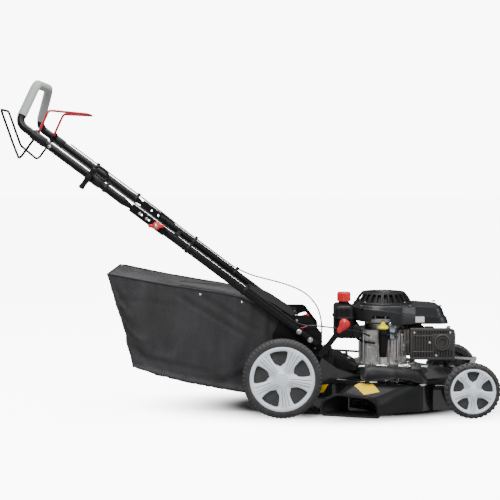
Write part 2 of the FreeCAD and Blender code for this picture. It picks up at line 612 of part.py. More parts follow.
def muffler_guard():
    """Black pressed guard with upright slots and a round opening for the outlet."""
    outline = [(418, 172), (562, 172), (562, 268), (540, 274), (418, 274)]
    face = plate_xz(outline, -136, -112, 8)
    hollow = plate_xz([(421, 175), (559, 175), (559, 265), (539, 271), (421, 271)], -133, -111, 6)
    shell = face.cut(hollow)
    slots = [plate_xz([(x, 184), (x + 5, 184), (x + 5, 262), (x, 262)], -140, -130, 2.4)
             for x in range(430, 492, 11)]
    slots.append(rod(Vector(OUTLET_X, -140, OUTLET_Z), Y_AXIS, 19, 10))
    tabs = [block(424, 436, -112, -108, 200, 212), block(540, 552, -112, -108, 200, 212)]
    return join([shell.cut(group(slots))] + tabs)


def cowl_outline(inset, z):
    """Plan of the blower cowl: round at the rear, narrower over the cylinder."""
    rear, front = 238 + inset, 548 - inset
    side, nose = 118 - inset, 96 - inset
    half_plan = [(rear, side), (392, side), (440, nose), (front, nose)]
    half_radii = [90 - inset, 20, 20, 34 - inset]
    points = [(x, -y) for x, y in half_plan] + half_plan[::-1]
    return path([Vector(x, y, z) for x, y in points], half_radii + half_radii[::-1], closed=True)


def engine_cowl():
    """Moulded blower cowl over the flywheel and cylinder, arched over the oil filler."""
    def form(inset, low, high):
        walls = Part.Face(cowl_outline(inset, low)).extrude(Vector(0, 0, high - 14 - low))
        crown = Part.makeLoft([cowl_outline(inset, high - 14.01), cowl_outline(inset + 12, high)], True, True)
        return walls.fuse(crown).removeSplitter()
    cowl = form(0, 283, 344).cut(form(3, 270, 341))
    arch_outline = [(292, 270), (358, 270), (352, 300), (325, 311), (298, 300)]
    arch = plate_xz(arch_outline, -140, -90, [0, 0, 14, 14, 14])
    opening = rod(Vector(BLADE_X, 0, 330), Z_AXIS, 86, 30)
    return cowl.cut(arch).cut(opening)


def recoil_cover():
    """Truncated cone that houses the recoil starter, slotted for cooling air."""
    low, high = 344.1, 383
    outside = [(97, low), (94, low + 5), (70, high - 3), (66, high), (50, high), (46, high - 8),
               (0, high - 8)]
    inside = [(0, high - 11), (44, high - 11), (48, high - 3), (65, high - 3), (91, low + 3), (91, low)]
    cover = lathe(outside + inside, Vector(BLADE_X, 0, 0))
    slot = block(74, 86, -6, 6, low + 8, high)
    slots = around(slot, ORIGIN, Z_AXIS, 16)
    vents = around(block(12, 38, -2.5, 2.5, high - 14, high), ORIGIN, Z_AXIS, 10)
    tools = group(slots + vents)
    tools.translate(Vector(BLADE_X, 0, 0))
    rope_exit = rod(Vector(BLADE_X - 100, -58, low + 14), X_AXIS, 4, 40)
    return cover.cut(tools).cut(rope_exit)


def fuel_tank():
    """Blow-moulded fuel tank behind the crankcase."""
    upper = plate_xy([(176, -104), (234, -104), (234, 44), (176, 44)], 236, 344, 14)
    upper = upper.makeFillet(8, [upper.Edges[i] for i in rim_edges(upper, 344)])
    lower = plate_xy([(200, -96), (259, -96), (259, 36), (200, 36)], 236, 280, 10)
    neck = rod(Vector(CAP_X, CAP_Y, 342), Z_AXIS, 18, 14)
    lip = plate_xy([(171, -70), (180, -70), (180, 10), (171, 10)], 296, 301, 3)
    cavity = block(180, 230, -100, 40, 240, 338)
    return join([upper, lower, neck, lip]).cut(cavity).cut(rod(Vector(CAP_X, CAP_Y, 330), Z_AXIS, 14, 40))


def fuel_cap():
    """Screw cap with a knurled skirt."""
    start = Vector(CAP_X, CAP_Y, 0)
    body = lathe([(0, 356.3), (19, 356.3), (19, 358), (22.5, 360), (22.5, 384), (20, 387), (0, 387)], start)
    notch = rod(Vector(23.6, 0, 350), Z_AXIS, 1.8, 32)
    flutes = group(around(notch, ORIGIN, Z_AXIS, 20))
    flutes.translate(start)
    return body.cut(flutes)


def oil_filler_tube():
    """Upright filler tube at the crankcase's right."""
    profile = [(6, 0), (8.9, 0), (8.9, 12), (13, 14), (13, 84), (16, 88), (16, 104), (10, 104), (6, 84)]
    return lathe(profile, Vector(FILLER_X, FILLER_Y, FILLER_FOOT))


def dipstick():
    """Filler cap with a finger grip and a gauge strip below."""
    start = Vector(FILLER_X, FILLER_Y, FILLER_TOP + 0.3)
    cap = lathe([(0, 0), (16, 0), (17, 3), (15, 10), (8, 13), (0, 13)], start)
    grip = plate_xz([(-9, 8), (9, 8), (6, 24), (-6, 24)], -3, 3, [2, 2, 5, 5])
    grip.translate(start)
    strip = rod(start, Z_AXIS * -1, 2, 90)
    return join([cap, grip, strip])


def carburettor():
    """Carburettor with its bowl, and the air filter box beside it, on the engine's left."""
    body = rod(Vector(446, 56, CYLINDER_Z), Y_AXIS, 15, 44)
    bowl = rod(Vector(446, 78, 184), Z_AXIS, 20, 26)
    filter_box = plate_xz([(390, 196), (482, 196), (482, 272), (390, 272)], 100, 140, 14)
    return join([body, bowl, filter_box])


# ---- drive train --------------------------------------------------------------------------------
PULLEY_Z = 102.0
ENGINE_PULLEY_R, GEAR_PULLEY_R = 22.0, 30.0
GEAR_PULLEY_X = 112.0


def crankshaft():
    """Vertical crankshaft with the drive pulley and the blade's adapter."""
    shaft = rod(Vector(BLADE_X, 0, BLADE_LOW + BLADE_T + 12), Z_AXIS, 14, 190)
    tip = rod(Vector(BLADE_X, 0, 240), Z_AXIS, 10, 84)
    pulley = lathe([(0, -7), (26, -7), (26, -5), (ENGINE_PULLEY_R - 3, 0), (26, 5), (26, 7), (0, 7)],
                   Vector(BLADE_X, 0, PULLEY_Z))
    adapter = rod(Vector(BLADE_X, 0, BLADE_LOW + BLADE_T), Z_AXIS, 24, 28)
    foot = block(BLADE_X - 34, BLADE_X + 34, -20, 20, BLADE_LOW + BLADE_T, BLADE_LOW + BLADE_T + 6)
    bolt_hole = rod(Vector(BLADE_X, 0, BLADE_LOW), Z_AXIS, 5.05, 40)
    return join([shaft, tip, pulley, adapter, foot]).cut(bolt_hole)


def flywheel():
    """Flywheel with its blower vanes, keyed on the crankshaft's top."""
    disc = rod(Vector(BLADE_X, 0, 288), Z_AXIS, 88, 12)
    vane = block(58, 86, -1.5, 1.5, 300, 318)
    vanes = group(around(vane, ORIGIN, Z_AXIS, 16))
    vanes.translate(Vector(BLADE_X, 0, 0))
    cup = bushing(Vector(BLADE_X, 0, 300), Z_AXIS, 40, 36, 18)
    return join([disc, cup] + vanes.Solids).cut(rod(Vector(BLADE_X, 0, 280), Z_AXIS, 10.02, 60))


def blade():
    """Mulching blade: flat bar with raised rear edges and sharpened tips."""
    half_width = 27
    corners = [(-BLADE_R, -half_width), (BLADE_R, -half_width), (BLADE_R, half_width), (-BLADE_R, half_width)]
    bar = plate_xy(corners, 0, BLADE_T, 6)
    wing = [(0, 0), (0, BLADE_T), (-14, BLADE_T + 13), (-17, BLADE_T + 13), (-3, 0)]
    lift = plate_yz(wing, 118, BLADE_R - 8)
    lift.translate(Vector(0, -half_width + 3, 0))
    edge = plate_yz([(half_width - 12, 0), (half_width + 1, 0), (half_width + 1, BLADE_T)], 110, BLADE_R + 1)
    wings = [lift, turned(lift, ORIGIN, Z_AXIS, 180)]
    edges = group([edge, turned(edge, ORIGIN, Z_AXIS, 180)])
    made = join([bar] + wings).cut(edges).cut(rod(Vector(0, 0, -1), Z_AXIS, 5.05, 10))
    trimmed = made.common(rod(Vector(0, 0, -5), Z_AXIS, BLADE_R + 4, 40))
    trimmed.translate(Vector(BLADE_X, 0, BLADE_LOW))
    return trimmed


def blade_bolt():
    head = hex_head(Vector(BLADE_X, 0, BLADE_LOW), Z_AXIS * -1, 17, 9)
    washer = rod(Vector(BLADE_X, 0, BLADE_LOW - 2), Z_AXIS, 15, 2)
    return join([head, washer, rod(Vector(BLADE_X, 0, BLADE_LOW), Z_AXIS, 5, 30)])


def belt_loop(gap, z0, z1):
    """Plan of an open belt round both pulleys, gap away from them, as a solid slab."""
    big, small = GEAR_PULLEY_R + gap, ENGINE_PULLEY_R + gap
    rear, front = Vector(GEAR_PULLEY_X, 0, z0), Vector(BLADE_X, 0, z0)
    sides = plate_xy([(rear.x, -big), (front.x, -small), (front.x, small), (rear.x, big)], z0, z1)
    return join([rod(rear, Z_AXIS, big, z1 - z0), rod(front, Z_AXIS, small, z1 - z0), sides])


def drive_belt():
    """V-belt from the crankshaft's pulley to the gearbox."""
    low, high = PULLEY_Z - 2.5, PULLEY_Z + 2.5
    return belt_loop(6.5, low, high).cut(belt_loop(1.5, low, high))


def gearbox():
    """Worm gearbox hung on the drive shaft."""
    outline = [(26, 66), (128, 66), (128, 90), (72, 90), (72, 128), (26, 128)]
    body = plate_xz(outline, -30, 30, [10, 6, 4, 0, 14, 14])
    bosses = rod(Vector(REAR_PIVOT.x, -44, REAR_PIVOT.z), Y_AXIS, 15, 88)
    case = join([body, bosses])
    case = case.cut(rod(Vector(REAR_PIVOT.x, -50, REAR_PIVOT.z), Y_AXIS, AXLE_R + RUN_GAP, 100))
    return case.cut(rod(Vector(GEAR_PULLEY_X, 0, 84), Z_AXIS, 5 + RUN_GAP, 10))


def gearbox_pulley():
    start = Vector(GEAR_PULLEY_X, 0, PULLEY_Z)
    rim = lathe([(0, -7), (34, -7), (34, -5), (GEAR_PULLEY_R - 3, 0), (34, 5), (34, 7), (0, 7)], start)
    return join([rim, rod(start - Vector(0, 0, 17.5), Z_AXIS, 5, 12)])


def drive_shaft():
    """Drive shaft across the tunnel, with a pinion inside each rear wheel."""
    shaft = rod(Vector(REAR_PIVOT.x, -229, REAR_PIVOT.z), Y_AXIS, AXLE_R, 458)
    pinion = rod(Vector(REAR_PIVOT.x, -229, REAR_PIVOT.z), Y_AXIS, PINION_R, 12)
    return join([shaft] + both_sides(pinion))


# ---- handle -------------------------------------------------------------------------------------
def lower_handle():
    """Two straight tubes from the deck's brackets to the fold, tied by a brace, with the fold's bolts."""
    def leg(y):
        wire = path([on_handle(110, y), on_handle(FOLD_X - 16, y)], 0)
        tube = sweep(wire, TUBE_R).cut(sweep(wire, TUBE_R - TUBE_WALL))
        bores = [rod(on_handle(x, y - 20), Y_AXIS, 4.05, 40) for x in (FOOT_X, FOOT_X2)]
        return tube.cut(group(bores))
    brace = rod(on_handle(-346, -LOWER_Y + 11), Y_AXIS, 8, 2 * LOWER_Y - 22)
    bolts = []
    for side in (-1, 1):
        head = on_handle(FOLD_X, side * (LOWER_Y - TUBE_R - 5))
        bolts.append(join([hex_head(head, Y_AXIS * side, 13, 5),
                           rod(head, Y_AXIS * side, 4, KNOB_FACE + 12 - LOWER_Y + TUBE_R + 5)]))
    return join([leg(-LOWER_Y), leg(LOWER_Y), brace] + bolts)


def loop_corners():
    """Right-hand corners of the upper handle: where the tube turns up, and the loop's top."""
    corner = on_handle(-834, -UPPER_Y)
    return corner, Vector(-787, -130, 1062)


def flat_end(side):
    """Pressed lower end of an upper tube, with the neck where it becomes round again."""
    strip = block(-34, 100, -FOLD_FLAT, FOLD_FLAT, -14, 14)
    strip = strip.makeFillet(5, [e for e in strip.Edges if e.Length > 100])
    neck = cone(Vector(92, 0, 0), X_AXIS, FOLD_FLAT, UPPER_R, 40)
    collar = rod(Vector(131, 0, 0), X_AXIS, UPPER_R, 12)
    return along_handle(join([strip, neck, collar]), FOLD_X, side * UPPER_Y)


def upper_handle():
    """Bent tube: pressed flat ends at the fold, straight legs and the narrower loop at the top."""
    corner, top = loop_corners()
    start = on_handle(FOLD_X - 140 * math.cos(SLOPE), -UPPER_Y)
    right = [start, corner, top]
    points = right + [Vector(q.x, -q.y, q.z) for q in right[::-1]]
    loop = bent_tube(points, [34, 46, 46, 34], TUBE_R, TUBE_WALL)
    bores = [rod(on_handle(FOLD_X, -260), Y_AXIS, 4.05, 520)]
    bores += [rod(on_handle(FOLD_X - reach * math.cos(SLOPE), -260), Y_AXIS, 3, 520) for reach in (30, 58)]
    return join([flat_end(-1), flat_end(1), loop]).cut(group(bores))


def grip_path(start):
    """The loop's centre line, beginning this far up from its lower corner."""
    corner, top = loop_corners()
    begin = corner + (top - corner).normalize() * start
    return path([begin, top, Vector(top.x, -top.y, top.z), Vector(begin.x, -begin.y, begin.z)], 46)


def foam_grip():
    """Foam sleeve over the loop."""
    return sweep(grip_path(28), GRIP_R).cut(sweep(grip_path(26), TUBE_R + 0.02))


def wing_knob(side):
    """Two-winged nut on the fold's bolt, outside the upper tube."""
    out = Y_AXIS * side
    centre = on_handle(FOLD_X, side * KNOB_FACE)
    wings = block(-26, 26, 3, 12, -5.5, 5.5)
    wings = wings.makeFillet(4, [e for e in wings.Edges if 8 < e.Length < 10])
    if side < 0:
        wings = mirrored(wings)
    wings.translate(centre)
    return join([rod(centre, out, 12, 16), wings]).cut(rod(centre, out, 4 + RUN_GAP, 13))


def foot_lever(side):
    """Quick-release lever inside the bracket, on the bolt that locks the lower handle."""
    face = on_handle(FOOT_X2, side * (TUNNEL_Y - 0.3))
    inward = Y_AXIS * -side
    hub = rod(face, inward, 9, 11)
    arm = plate_xz([(0, -7), (34, -7), (48, -3), (48, 6), (34, 8), (0, 7)], 1, 9, [0, 10, 3, 3, 10, 0])
    arm = turned(arm, ORIGIN, Y_AXIS, -14)
    if side > 0:
        arm = mirrored(arm)
    arm.translate(face)
    outside = on_handle(FOOT_X2, side * (LOWER_Y + TUBE_R + 4.5))
    head = lathe([(0, 0), (5, 0), (7.5, 2.2), (7.5, 4.4), (0, 4.4)], outside, inward)
    shank = rod(outside, inward, 4, outside.distanceToPoint(face) + 4)
    return join([hub, arm, head, shank])


def fasteners():
    """Foot bolts that the lower handle turns on, and the engine's bolts."""
    bolts = []
    for side in (-1, 1):
        start = on_handle(FOOT_X, side * (LOWER_Y + TUBE_R + 4.5))
        head = lathe([(0, 0), (5, 0), (7.5, 2.2), (7.5, 4.4), (0, 4.4)], start, Y_AXIS * -side)
        bolts.append(join([head, rod(start, Y_AXIS * -side, 4, LOWER_Y + TUBE_R + 4.3 - TUNNEL_Y)]))
    for x, y in engine_bolt_places():
        head = hex_head(Vector(x, y, PLATFORM_TOP + 12), Z_AXIS, 13, 6)
        bolts.append(join([head, rod(Vector(x, y, PLATFORM_TOP - 8), Z_AXIS, 4, 22)]))
    return group(bolts)


def brake_bail():
    """Bent wire that must be held against the grip while the engine runs."""
    p = BRAKE_PIVOT
    right = [Vector(p.x, -192, p.z), Vector(p.x, -166, p.z), Vector(-744, -166, 977), Vector(-635, -68, 969)]
    points = right + [Vector(q.x, -q.y, q.z) for q in right[::-1]]
    return sweep(path(points, [8, 14, 14, 14, 14, 8]), BAIL_R)


def drive_bail():
    """Bent wire behind the grip that engages the drive."""
    p = DRIVE_PIVOT
    right = [Vector(p.x, -192, p.z), Vector(p.x, -182, p.z), Vector(-837, -182, 821), Vector(-875, -68, 869),
             Vector(-914.6, -68, 983.6)]
    points = right + [Vector(q.x, -q.y, q.z) for q in right[::-1]]
    return sweep(path(points, [4.4, 16, 14, 16, 16, 14, 16, 4.4]), BAIL_R)


def bail_brackets():
    """Plastic saddles on the upper tubes that carry both bails."""
    saddles = []
    for side in (-1, 1):
        saddle = block(-26, 26, -UPPER_R - 4, UPPER_R + 4, -UPPER_R - 4, UPPER_R + 4)
        saddle = saddle.makeFillet(8, [e for e in saddle.Edges if e.Length > 50])
        saddle = along_handle(saddle, -770, side * UPPER_Y)
        pivots = (BRAKE_PIVOT, DRIVE_PIVOT)
        ears = [rod(Vector(p.x, side * (UPPER_Y - 15) - 5, p.z), Y_AXIS, 9, 10) for p in pivots]
        saddle = join([saddle] + ears)
        wire = path([on_handle(-700, side * UPPER_Y), on_handle(-833, side * UPPER_Y)], 0)
        saddle = saddle.cut(sweep(wire, TUBE_R + 0.02))
        for p in pivots:
            saddle = saddle.cut(rod(Vector(p.x, side * 190 - 8, p.z), Y_AXIS, BAIL_R + RUN_GAP, 16))
        saddles.append(saddle)
    return group(saddles)


def rope_guide():
    """Guide for the starter grip on the right upper tube: a collar with an open loop above it."""
    collar = bushing(Vector(-22, 0, 0), X_AXIS, UPPER_R + 5, TUBE_R + 0.02, 44)
    loop = plate_xz([(-26, 14), (22, 14), (30, 30), (16, 48), (-14, 48), (-30, 34)], -6, 6, 8)
    hole = plate_xz([(-11, 21), (11, 21), (11, 36), (-11, 36)], -8, 8, 3)
    base = block(-22, 22, -6, 6, UPPER_R, 18)
    guide = join([collar, loop, base]).cut(hole)
    guide = guide.cut(rod(Vector(-30, 0, 0), X_AXIS, TUBE_R + 0.02, 60))
    guide = guide.cut(rod(Vector(-40, 0, UPPER_LIFT), X_AXIS, CABLE_R + 0.4, 80))
    return along_handle(guide, GUIDE_X, -UPPER_Y)


def starter_grip():
    """Plastic T-grip, resting against the guide's outside."""
    bar = rod(Vector(0, 0, -39), Z_AXIS, 8, 78)
    bar = bar.makeFillet(5, [bar.Edges[0], bar.Edges[2]])
    stem = cone(Vector(0, -12, 0), Y_AXIS, 5, 7, 8)
    grip = join([bar, stem])
    grip.translate(Vector(0, UPPER_R + 18, 0))
    return along_handle(grip, GUIDE_X - 16, -UPPER_Y)


# ---- cables -------------------------------------------------------------------------------------
def upper_cables():
    """Bowden cables along the tops of the upper tubes."""
    cables = []
    for side in (-1, 1):
        start_x, end_x = -735, FOLD_X - 2
        cables.append(sweep(path([on_handle(start_x, side * UPPER_Y, UPPER_LIFT),
                                  on_handle(end_x, side * UPPER_Y, UPPER_LIFT)], 0), CABLE_R))
    return group(cables)


def lower_cables():
    """The same cables along the lower tubes; the left one leaves its tube at the clip."""
    cables = []
    for side, end_x in ((-1, 30), (1, -165)):
        cables.append(sweep(path([on_handle(FOLD_X + 2, side * LOWER_Y, LOWER_LIFT),
                                  on_handle(end_x, side * LOWER_Y, LOWER_LIFT)], 0), CABLE_R))
    return group(cables)


BRAKE_ARC = [(-104, 188, 423), (-52, 187, 410), (0, 184, 397), (46, 180, 382), (84, 176, 364),
             (112, 170, 339), (133, 164, 308), (143, 158, 268), (145, 153, 224), (140, 150, 181)]
DRIVE_RUN = [(66, -187, 289), (108, -187, 290), (150, -186, 285), (184, -172, 278), (214, -146, 271),
             (246, -120, 263), (272, -103, 254), (289, -88, 244)]


def engine_cables():
    """Free ends of the cables, from the handle to the deck and the engine."""
    made = []
    starts = [on_handle(-163.5, LOWER_Y, LOWER_LIFT), on_handle(31.5, -LOWER_Y, LOWER_LIFT)]
    for start, route in zip(starts, (BRAKE_ARC, DRIVE_RUN)):
        points = [start] + [Vector(*p) for p in route]
        radii = bend_radii(points)
        print("cable bends, mm:", [round(r) for r in radii])
        made.append(sweep(path(points, radii), CABLE_R))
    return group(made)


def bend_radii(points):
    """Largest arc at each corner: 0.45 of the shorter run over the tangent of half the turn."""
    radii = []
    for before, here, after in zip(points, points[1:], points[2:]):
        turn = (here - before).getAngle(after - here)
        shorter = min((here - before).Length, (after - here).Length)
        radii.append(0.45 * shorter / math.tan(turn / 2))
    return radii


# ---- grass bag ----------------------------------------------------------------------------------
BAG_SIDE = [(8, 300), (-133, 380), (-260, 404), (-387, 424), (-556, 459), (-518, 312), (-475, 160),
            (-300, 112), (-118, 77), (-40, 84), (8, 156)]


def bag_form(inset):
    """Tapering bag drawn by its side outline; inset shrinks it all round and opens its mouth."""
    middle = Vector(-260, 0, 250)
    points = []
    for x, z in BAG_SIDE:
        toward = Vector(middle.x - x, 0, middle.z - z).normalize() * inset
        points.append((x + toward.x, z + toward.z))
    if inset:
        points[0] = (20, points[0][1] - inset)
        points[-1] = (20, points[-1][1] + inset)
    lean = (BAG_REAR_HALF - BAG_FRONT_HALF) / (8 - BAG_SIDE[4][0])
    slab = plate_xz(points, -300, 300, [0, 40, 200, 200, 24, 300, 24, 300, 30, 20, 0])
    half_front, half_rear = BAG_FRONT_HALF - inset, BAG_REAR_HALF - inset + 44 * lean
    front_edge = half_front - 20 * lean
    wedge = plate_xy([(28, -front_edge), (28, front_edge), (-600, half_rear), (-600, -half_rear)], 0, 600)
    return slab.common(wedge)


def bag_fabric():
    return bag_form(0).cut(bag_form(BAG_WALL))


def bag_frame():
    """Wire hoop inside the bag's mouth."""
    half = BAG_FRONT_HALF - BAG_WALL - 7
    corners = [(-half, 168), (half, 168), (half, 286), (-half, 286)]
    mouth = path([Vector(2, y, z) for y, z in corners], 24, closed=True)
    ring = Part.Wire([Part.Circle(Vector(2, 0, 168), Y_AXIS, 4).toShape()])
    return mouth.makePipeShell([ring], True, False)


# ---- the whole mower ----------------------------------------------------------------------------
def build():
    parts = {
        "deck_shell": deck_shell(), "handle_brackets": handle_brackets(), "wash_port": wash_port(),
        "side_chute": side_chute(), "side_flap": side_flap(), "flap_pins": flap_pins(),
        "rear_flap": rear_flap(), "rear_flap_spring": rear_flap_spring(),
        "rear_axle": rear_axle(), "front_axle": front_axle(), "link_rod": link_rod(),
        "height_lever": height_lever(), "height_grip": height_grip(),
        "crankcase": crankcase(), "cylinder": cylinder(), "cylinder_head": cylinder_head(),
        "spark_plug": spark_plug(), "muffler": muffler(), "muffler_guard": muffler_guard(),
        "engine_cowl": engine_cowl(), "recoil_cover": recoil_cover(), "fuel_tank": fuel_tank(),
        "fuel_cap": fuel_cap(), "oil_filler_tube": oil_filler_tube(), "dipstick": dipstick(),
        "carburettor": carburettor(), "crankshaft": crankshaft(), "flywheel": flywheel(),
        "blade": blade(), "blade_bolt": blade_bolt(), "drive_belt": drive_belt(), "gearbox": gearbox(),
        "gearbox_pulley": gearbox_pulley(), "drive_shaft": drive_shaft(), "fasteners": fasteners(),
        "lower_handle": lower_handle(), "upper_handle": upper_handle(), "foam_grip": foam_grip(),
        "brake_bail": brake_bail(), "drive_bail": drive_bail(), "bail_brackets": bail_brackets(),
        "rope_guide": rope_guide(), "starter_grip": starter_grip(),
        "upper_cables": upper_cables(), "lower_cables": lower_cables(), "engine_cables": engine_cables(),
        "bag_fabric": bag_fabric(), "bag_frame": bag_frame(),
    }
    for side in (-1, 1):
        parts["fold_knob_" + mower_left(side)] = wing_knob(side)
        parts["foot_lever_" + mower_left(side)] = foot_lever(side)
    parts.update(wheels_and_tyres())
    return parts


def base_centre(parts):
    box = Part.makeCompound(list(parts.values())).optimalBoundingBox(False)
    return Vector((box.XMin + box.XMax) / 2, (box.YMin + box.YMax) / 2, box.ZMin)


def write_parts(parts):
    origin = base_centre(parts)
    print("origin moved by", [round(v, 4) for v in origin])
    os.makedirs("parts", exist_ok=True)
    for name, shape in parts.items():
        shape.translate(origin * -1)
        shape.exportStep("parts/" + name + ".step")


write_parts(build())
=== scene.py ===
import math

import bmesh
import bpy
import numpy as np
from mathutils import Matrix, Vector, noise


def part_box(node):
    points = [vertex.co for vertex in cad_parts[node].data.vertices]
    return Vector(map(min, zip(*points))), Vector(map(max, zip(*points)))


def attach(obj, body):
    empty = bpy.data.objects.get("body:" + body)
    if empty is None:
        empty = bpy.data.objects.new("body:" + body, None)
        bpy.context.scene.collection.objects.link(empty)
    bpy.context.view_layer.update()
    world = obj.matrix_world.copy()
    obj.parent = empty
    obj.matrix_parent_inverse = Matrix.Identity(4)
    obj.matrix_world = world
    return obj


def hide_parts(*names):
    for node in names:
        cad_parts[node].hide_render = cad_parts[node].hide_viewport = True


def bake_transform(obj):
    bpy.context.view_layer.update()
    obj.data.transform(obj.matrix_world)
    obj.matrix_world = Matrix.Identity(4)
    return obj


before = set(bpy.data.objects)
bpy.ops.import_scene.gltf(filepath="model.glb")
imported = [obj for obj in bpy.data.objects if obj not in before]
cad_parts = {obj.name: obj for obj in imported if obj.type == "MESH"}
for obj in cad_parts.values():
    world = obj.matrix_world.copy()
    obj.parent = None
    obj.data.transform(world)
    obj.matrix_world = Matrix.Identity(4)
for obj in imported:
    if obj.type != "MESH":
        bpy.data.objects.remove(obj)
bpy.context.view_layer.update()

# The looks of a walk-behind petrol mower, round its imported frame.
# Lengths in calls to at() are millimetres in the mower's own axes: X forward from the rear axle,
# Y to the mower's left from its middle, Z up from the ground. Everything that is made is in metres.

MM = 0.001
X_AXIS, Y_AXIS, Z_AXIS = Vector((1, 0, 0)), Vector((0, 1, 0)), Vector((0, 0, 1))


def middle_of(node):
    """The middle of a CAD node's box."""
    low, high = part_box(node)
    return (low + high) / 2


REAR_HUB, FRONT_HUB = middle_of("rear_tyre_right"), middle_of("front_tyre_right")
AXLE_X = REAR_HUB.x
MIDDLE_Y = (REAR_HUB.y + middle_of("rear_tyre_left").y) / 2

HANDLE_SLOPE = math.radians(36.74)                 # above level, rising to the rear
HANDLE_Z0 = 312.5                                  # tubes' centre line over the rear axle
LOWER_Y, UPPER_Y = 188.0, 207.0                    # the tubes' distance from the middle
TUBE_R = 12.7
FOLD_X = -399.0
FOOT_BOLTS = (90, 54)                              # pivot and lock bolt at the tubes' lower ends
GUIDE_X = -592                                     # starter rope's guide
BAIL_PIVOTS = ((-777, 906), (-787, 889))           # brake and drive bail, X and Z
BRACKET_Y = 172                                    # inner face of the foot brackets
UP_HANDLE = Vector((-math.cos(HANDLE_SLOPE), 0, math.sin(HANDLE_SLOPE)))
OFF_HANDLE = Vector((math.sin(HANDLE_SLOPE), 0, math.cos(HANDLE_SLOPE)))
BLADE_X = 341.0                                    # the engine's upright axis
PLATFORM_TOP = 140.0


def at(x, y, z):
    """A point given in the mower's own millimetres."""
    return Vector((AXLE_X + x * MM, MIDDLE_Y + y * MM, z * MM))


def on_handle(x, y, lift=0.0):
    """A point of the handle's straight centre line, and this far square above it."""
    return at(x, y, HANDLE_Z0 - math.tan(HANDLE_SLOPE) * x) + OFF_HANDLE * lift * MM


# ---- camera, floor and light --------------------------------------------------------------------
SOFT_LIGHT, BACKDROP, FLOOR_GLOW = 0.16, 9.0, 8.3
SHADE_X, SHADE_Y = 0.62, 0.34                      # reach of the shade under the mower, from its middle


def make_camera():
    data = bpy.data.cameras.new("camera")
    data.lens, data.sensor_width = 97.2, 36.0
    camera = bpy.data.objects.new("camera", data)
    bpy.context.scene.collection.objects.link(camera)
    camera.location = at(-86, -4486, 800)
    camera.rotation_mode = "QUATERNION"
    camera.rotation_quaternion = (at(-102, -260, 537) - camera.location).to_track_quat("-Z", "Y")
    bpy.context.scene.camera = camera


def area_light(name, place, aim, size, power):
    data = bpy.data.lights.new(name, "AREA")
    data.shape, data.size, data.size_y = "RECTANGLE", size[0], size[1]
    data.energy = power
    light = bpy.data.objects.new(name, data)
    bpy.context.scene.collection.objects.link(light)
    light.location = place
    light.rotation_mode = "QUATERNION"
    light.rotation_quaternion = (aim - place).to_track_quat("-Z", "Y")


def make_studio():
    world = bpy.data.worlds.new("studio")
    bpy.context.scene.world = world
    world.use_nodes = True
    nodes, links = world.node_tree.nodes, world.node_tree.links
    soft, seen = nodes["Background"], nodes.new("ShaderNodeBackground")
    soft.inputs["Color"].default_value = seen.inputs["Color"].default_value = (1, 1, 1, 1)
    soft.inputs["Strength"].default_value = SOFT_LIGHT
    seen.inputs["Strength"].default_value = BACKDROP
    rays, choose = nodes.new("ShaderNodeLightPath"), nodes.new("ShaderNodeMixShader")
    links.new(rays.outputs["Is Camera Ray"], choose.inputs["Fac"])
    links.new(soft.outputs["Background"], choose.inputs[1])
    links.new(seen.outputs["Background"], choose.inputs[2])
    links.new(choose.outputs["Shader"], nodes["World Output"].inputs["Surface"])
    centre = at(0, 0, 400)
    area_light("key_light", at(-700, -2300, 2700), centre, (1.5, 0.7), 100)
    area_light("top_light", at(300, 100, 2800), centre, (2.2, 0.5), 80)
    area_light("rear_light", at(-2600, 900, 1500), centre, (1.0, 1.4), 30)
    area_light("front_light", at(2600, -1400, 1300), centre, (0.9, 1.2), 35)
    mesh = bpy.data.meshes.new("floor")
    mesh.from_pydata([(-30, -30, 0), (30, -30, 0), (30, 30, 0), (-30, 30, 0)], [], [(0, 1, 2, 3)])
    floor = bpy.data.objects.new("floor", mesh)
    floor.location = (0, 0, -0.0005)
    bpy.context.scene.collection.objects.link(floor)
    pale = bpy.data.materials.new("pale_floor")
    pale.use_nodes = True
    nodes, links = pale.node_tree.nodes, pale.node_tree.links
    dull, output = nodes["Principled BSDF"], nodes["Material Output"]
    dull.inputs["Base Color"].default_value = (0.45, 0.45, 0.45, 1)
    dull.inputs["Roughness"].default_value = 0.8
    bright, glow = nodes.new("ShaderNodeBsdfDiffuse"), nodes.new("ShaderNodeEmission")
    bright.inputs["Color"].default_value = (0.93, 0.93, 0.93, 1)
    # Painted shadow: the floor's glow fades out in an oval under the mower, so the floor is darker there.
    place, squeeze = nodes.new("ShaderNodeTexCoord"), nodes.new("ShaderNodeMapping")
    middle = at(220, 0, 0)
    squeeze.inputs["Scale"].default_value = (1 / SHADE_X, 1 / SHADE_Y, 1)
    squeeze.inputs["Location"].default_value = (-middle.x / SHADE_X, -middle.y / SHADE_Y, 0)
    reach, ramp = nodes.new("ShaderNodeVectorMath"), nodes.new("ShaderNodeMapRange")
    reach.operation = "LENGTH"
    ramp.interpolation_type = "SMOOTHSTEP"
    ramp.inputs["From Min"].default_value = 0.55
    ramp.inputs["From Max"].default_value = 1.25
    ramp.inputs["To Max"].default_value = FLOOR_GLOW
    rays, add, choose = (nodes.new("ShaderNode" + kind) for kind in ("LightPath", "AddShader", "MixShader"))
    links.new(place.outputs["Object"], squeeze.inputs["Vector"])
    links.new(squeeze.outputs["Vector"], reach.inputs[0])
    links.new(reach.outputs["Value"], ramp.inputs["Value"])
    links.new(ramp.outputs["Result"], glow.inputs["Strength"])
    links.new(bright.outputs["BSDF"], add.inputs[0])
    links.new(glow.outputs["Emission"], add.inputs[1])
    links.new(rays.outputs["Is Camera Ray"], choose.inputs["Fac"])
    links.new(dull.outputs["BSDF"], choose.inputs[1])
    links.new(add.outputs["Shader"], choose.inputs[2])
    links.new(choose.outputs["Shader"], output.inputs["Surface"])
    mesh.materials.append(pale)


# ---- materials ----------------------------------------------------------------------------------
def shader_of(made):
    return made.node_tree.nodes["Principled BSDF"]


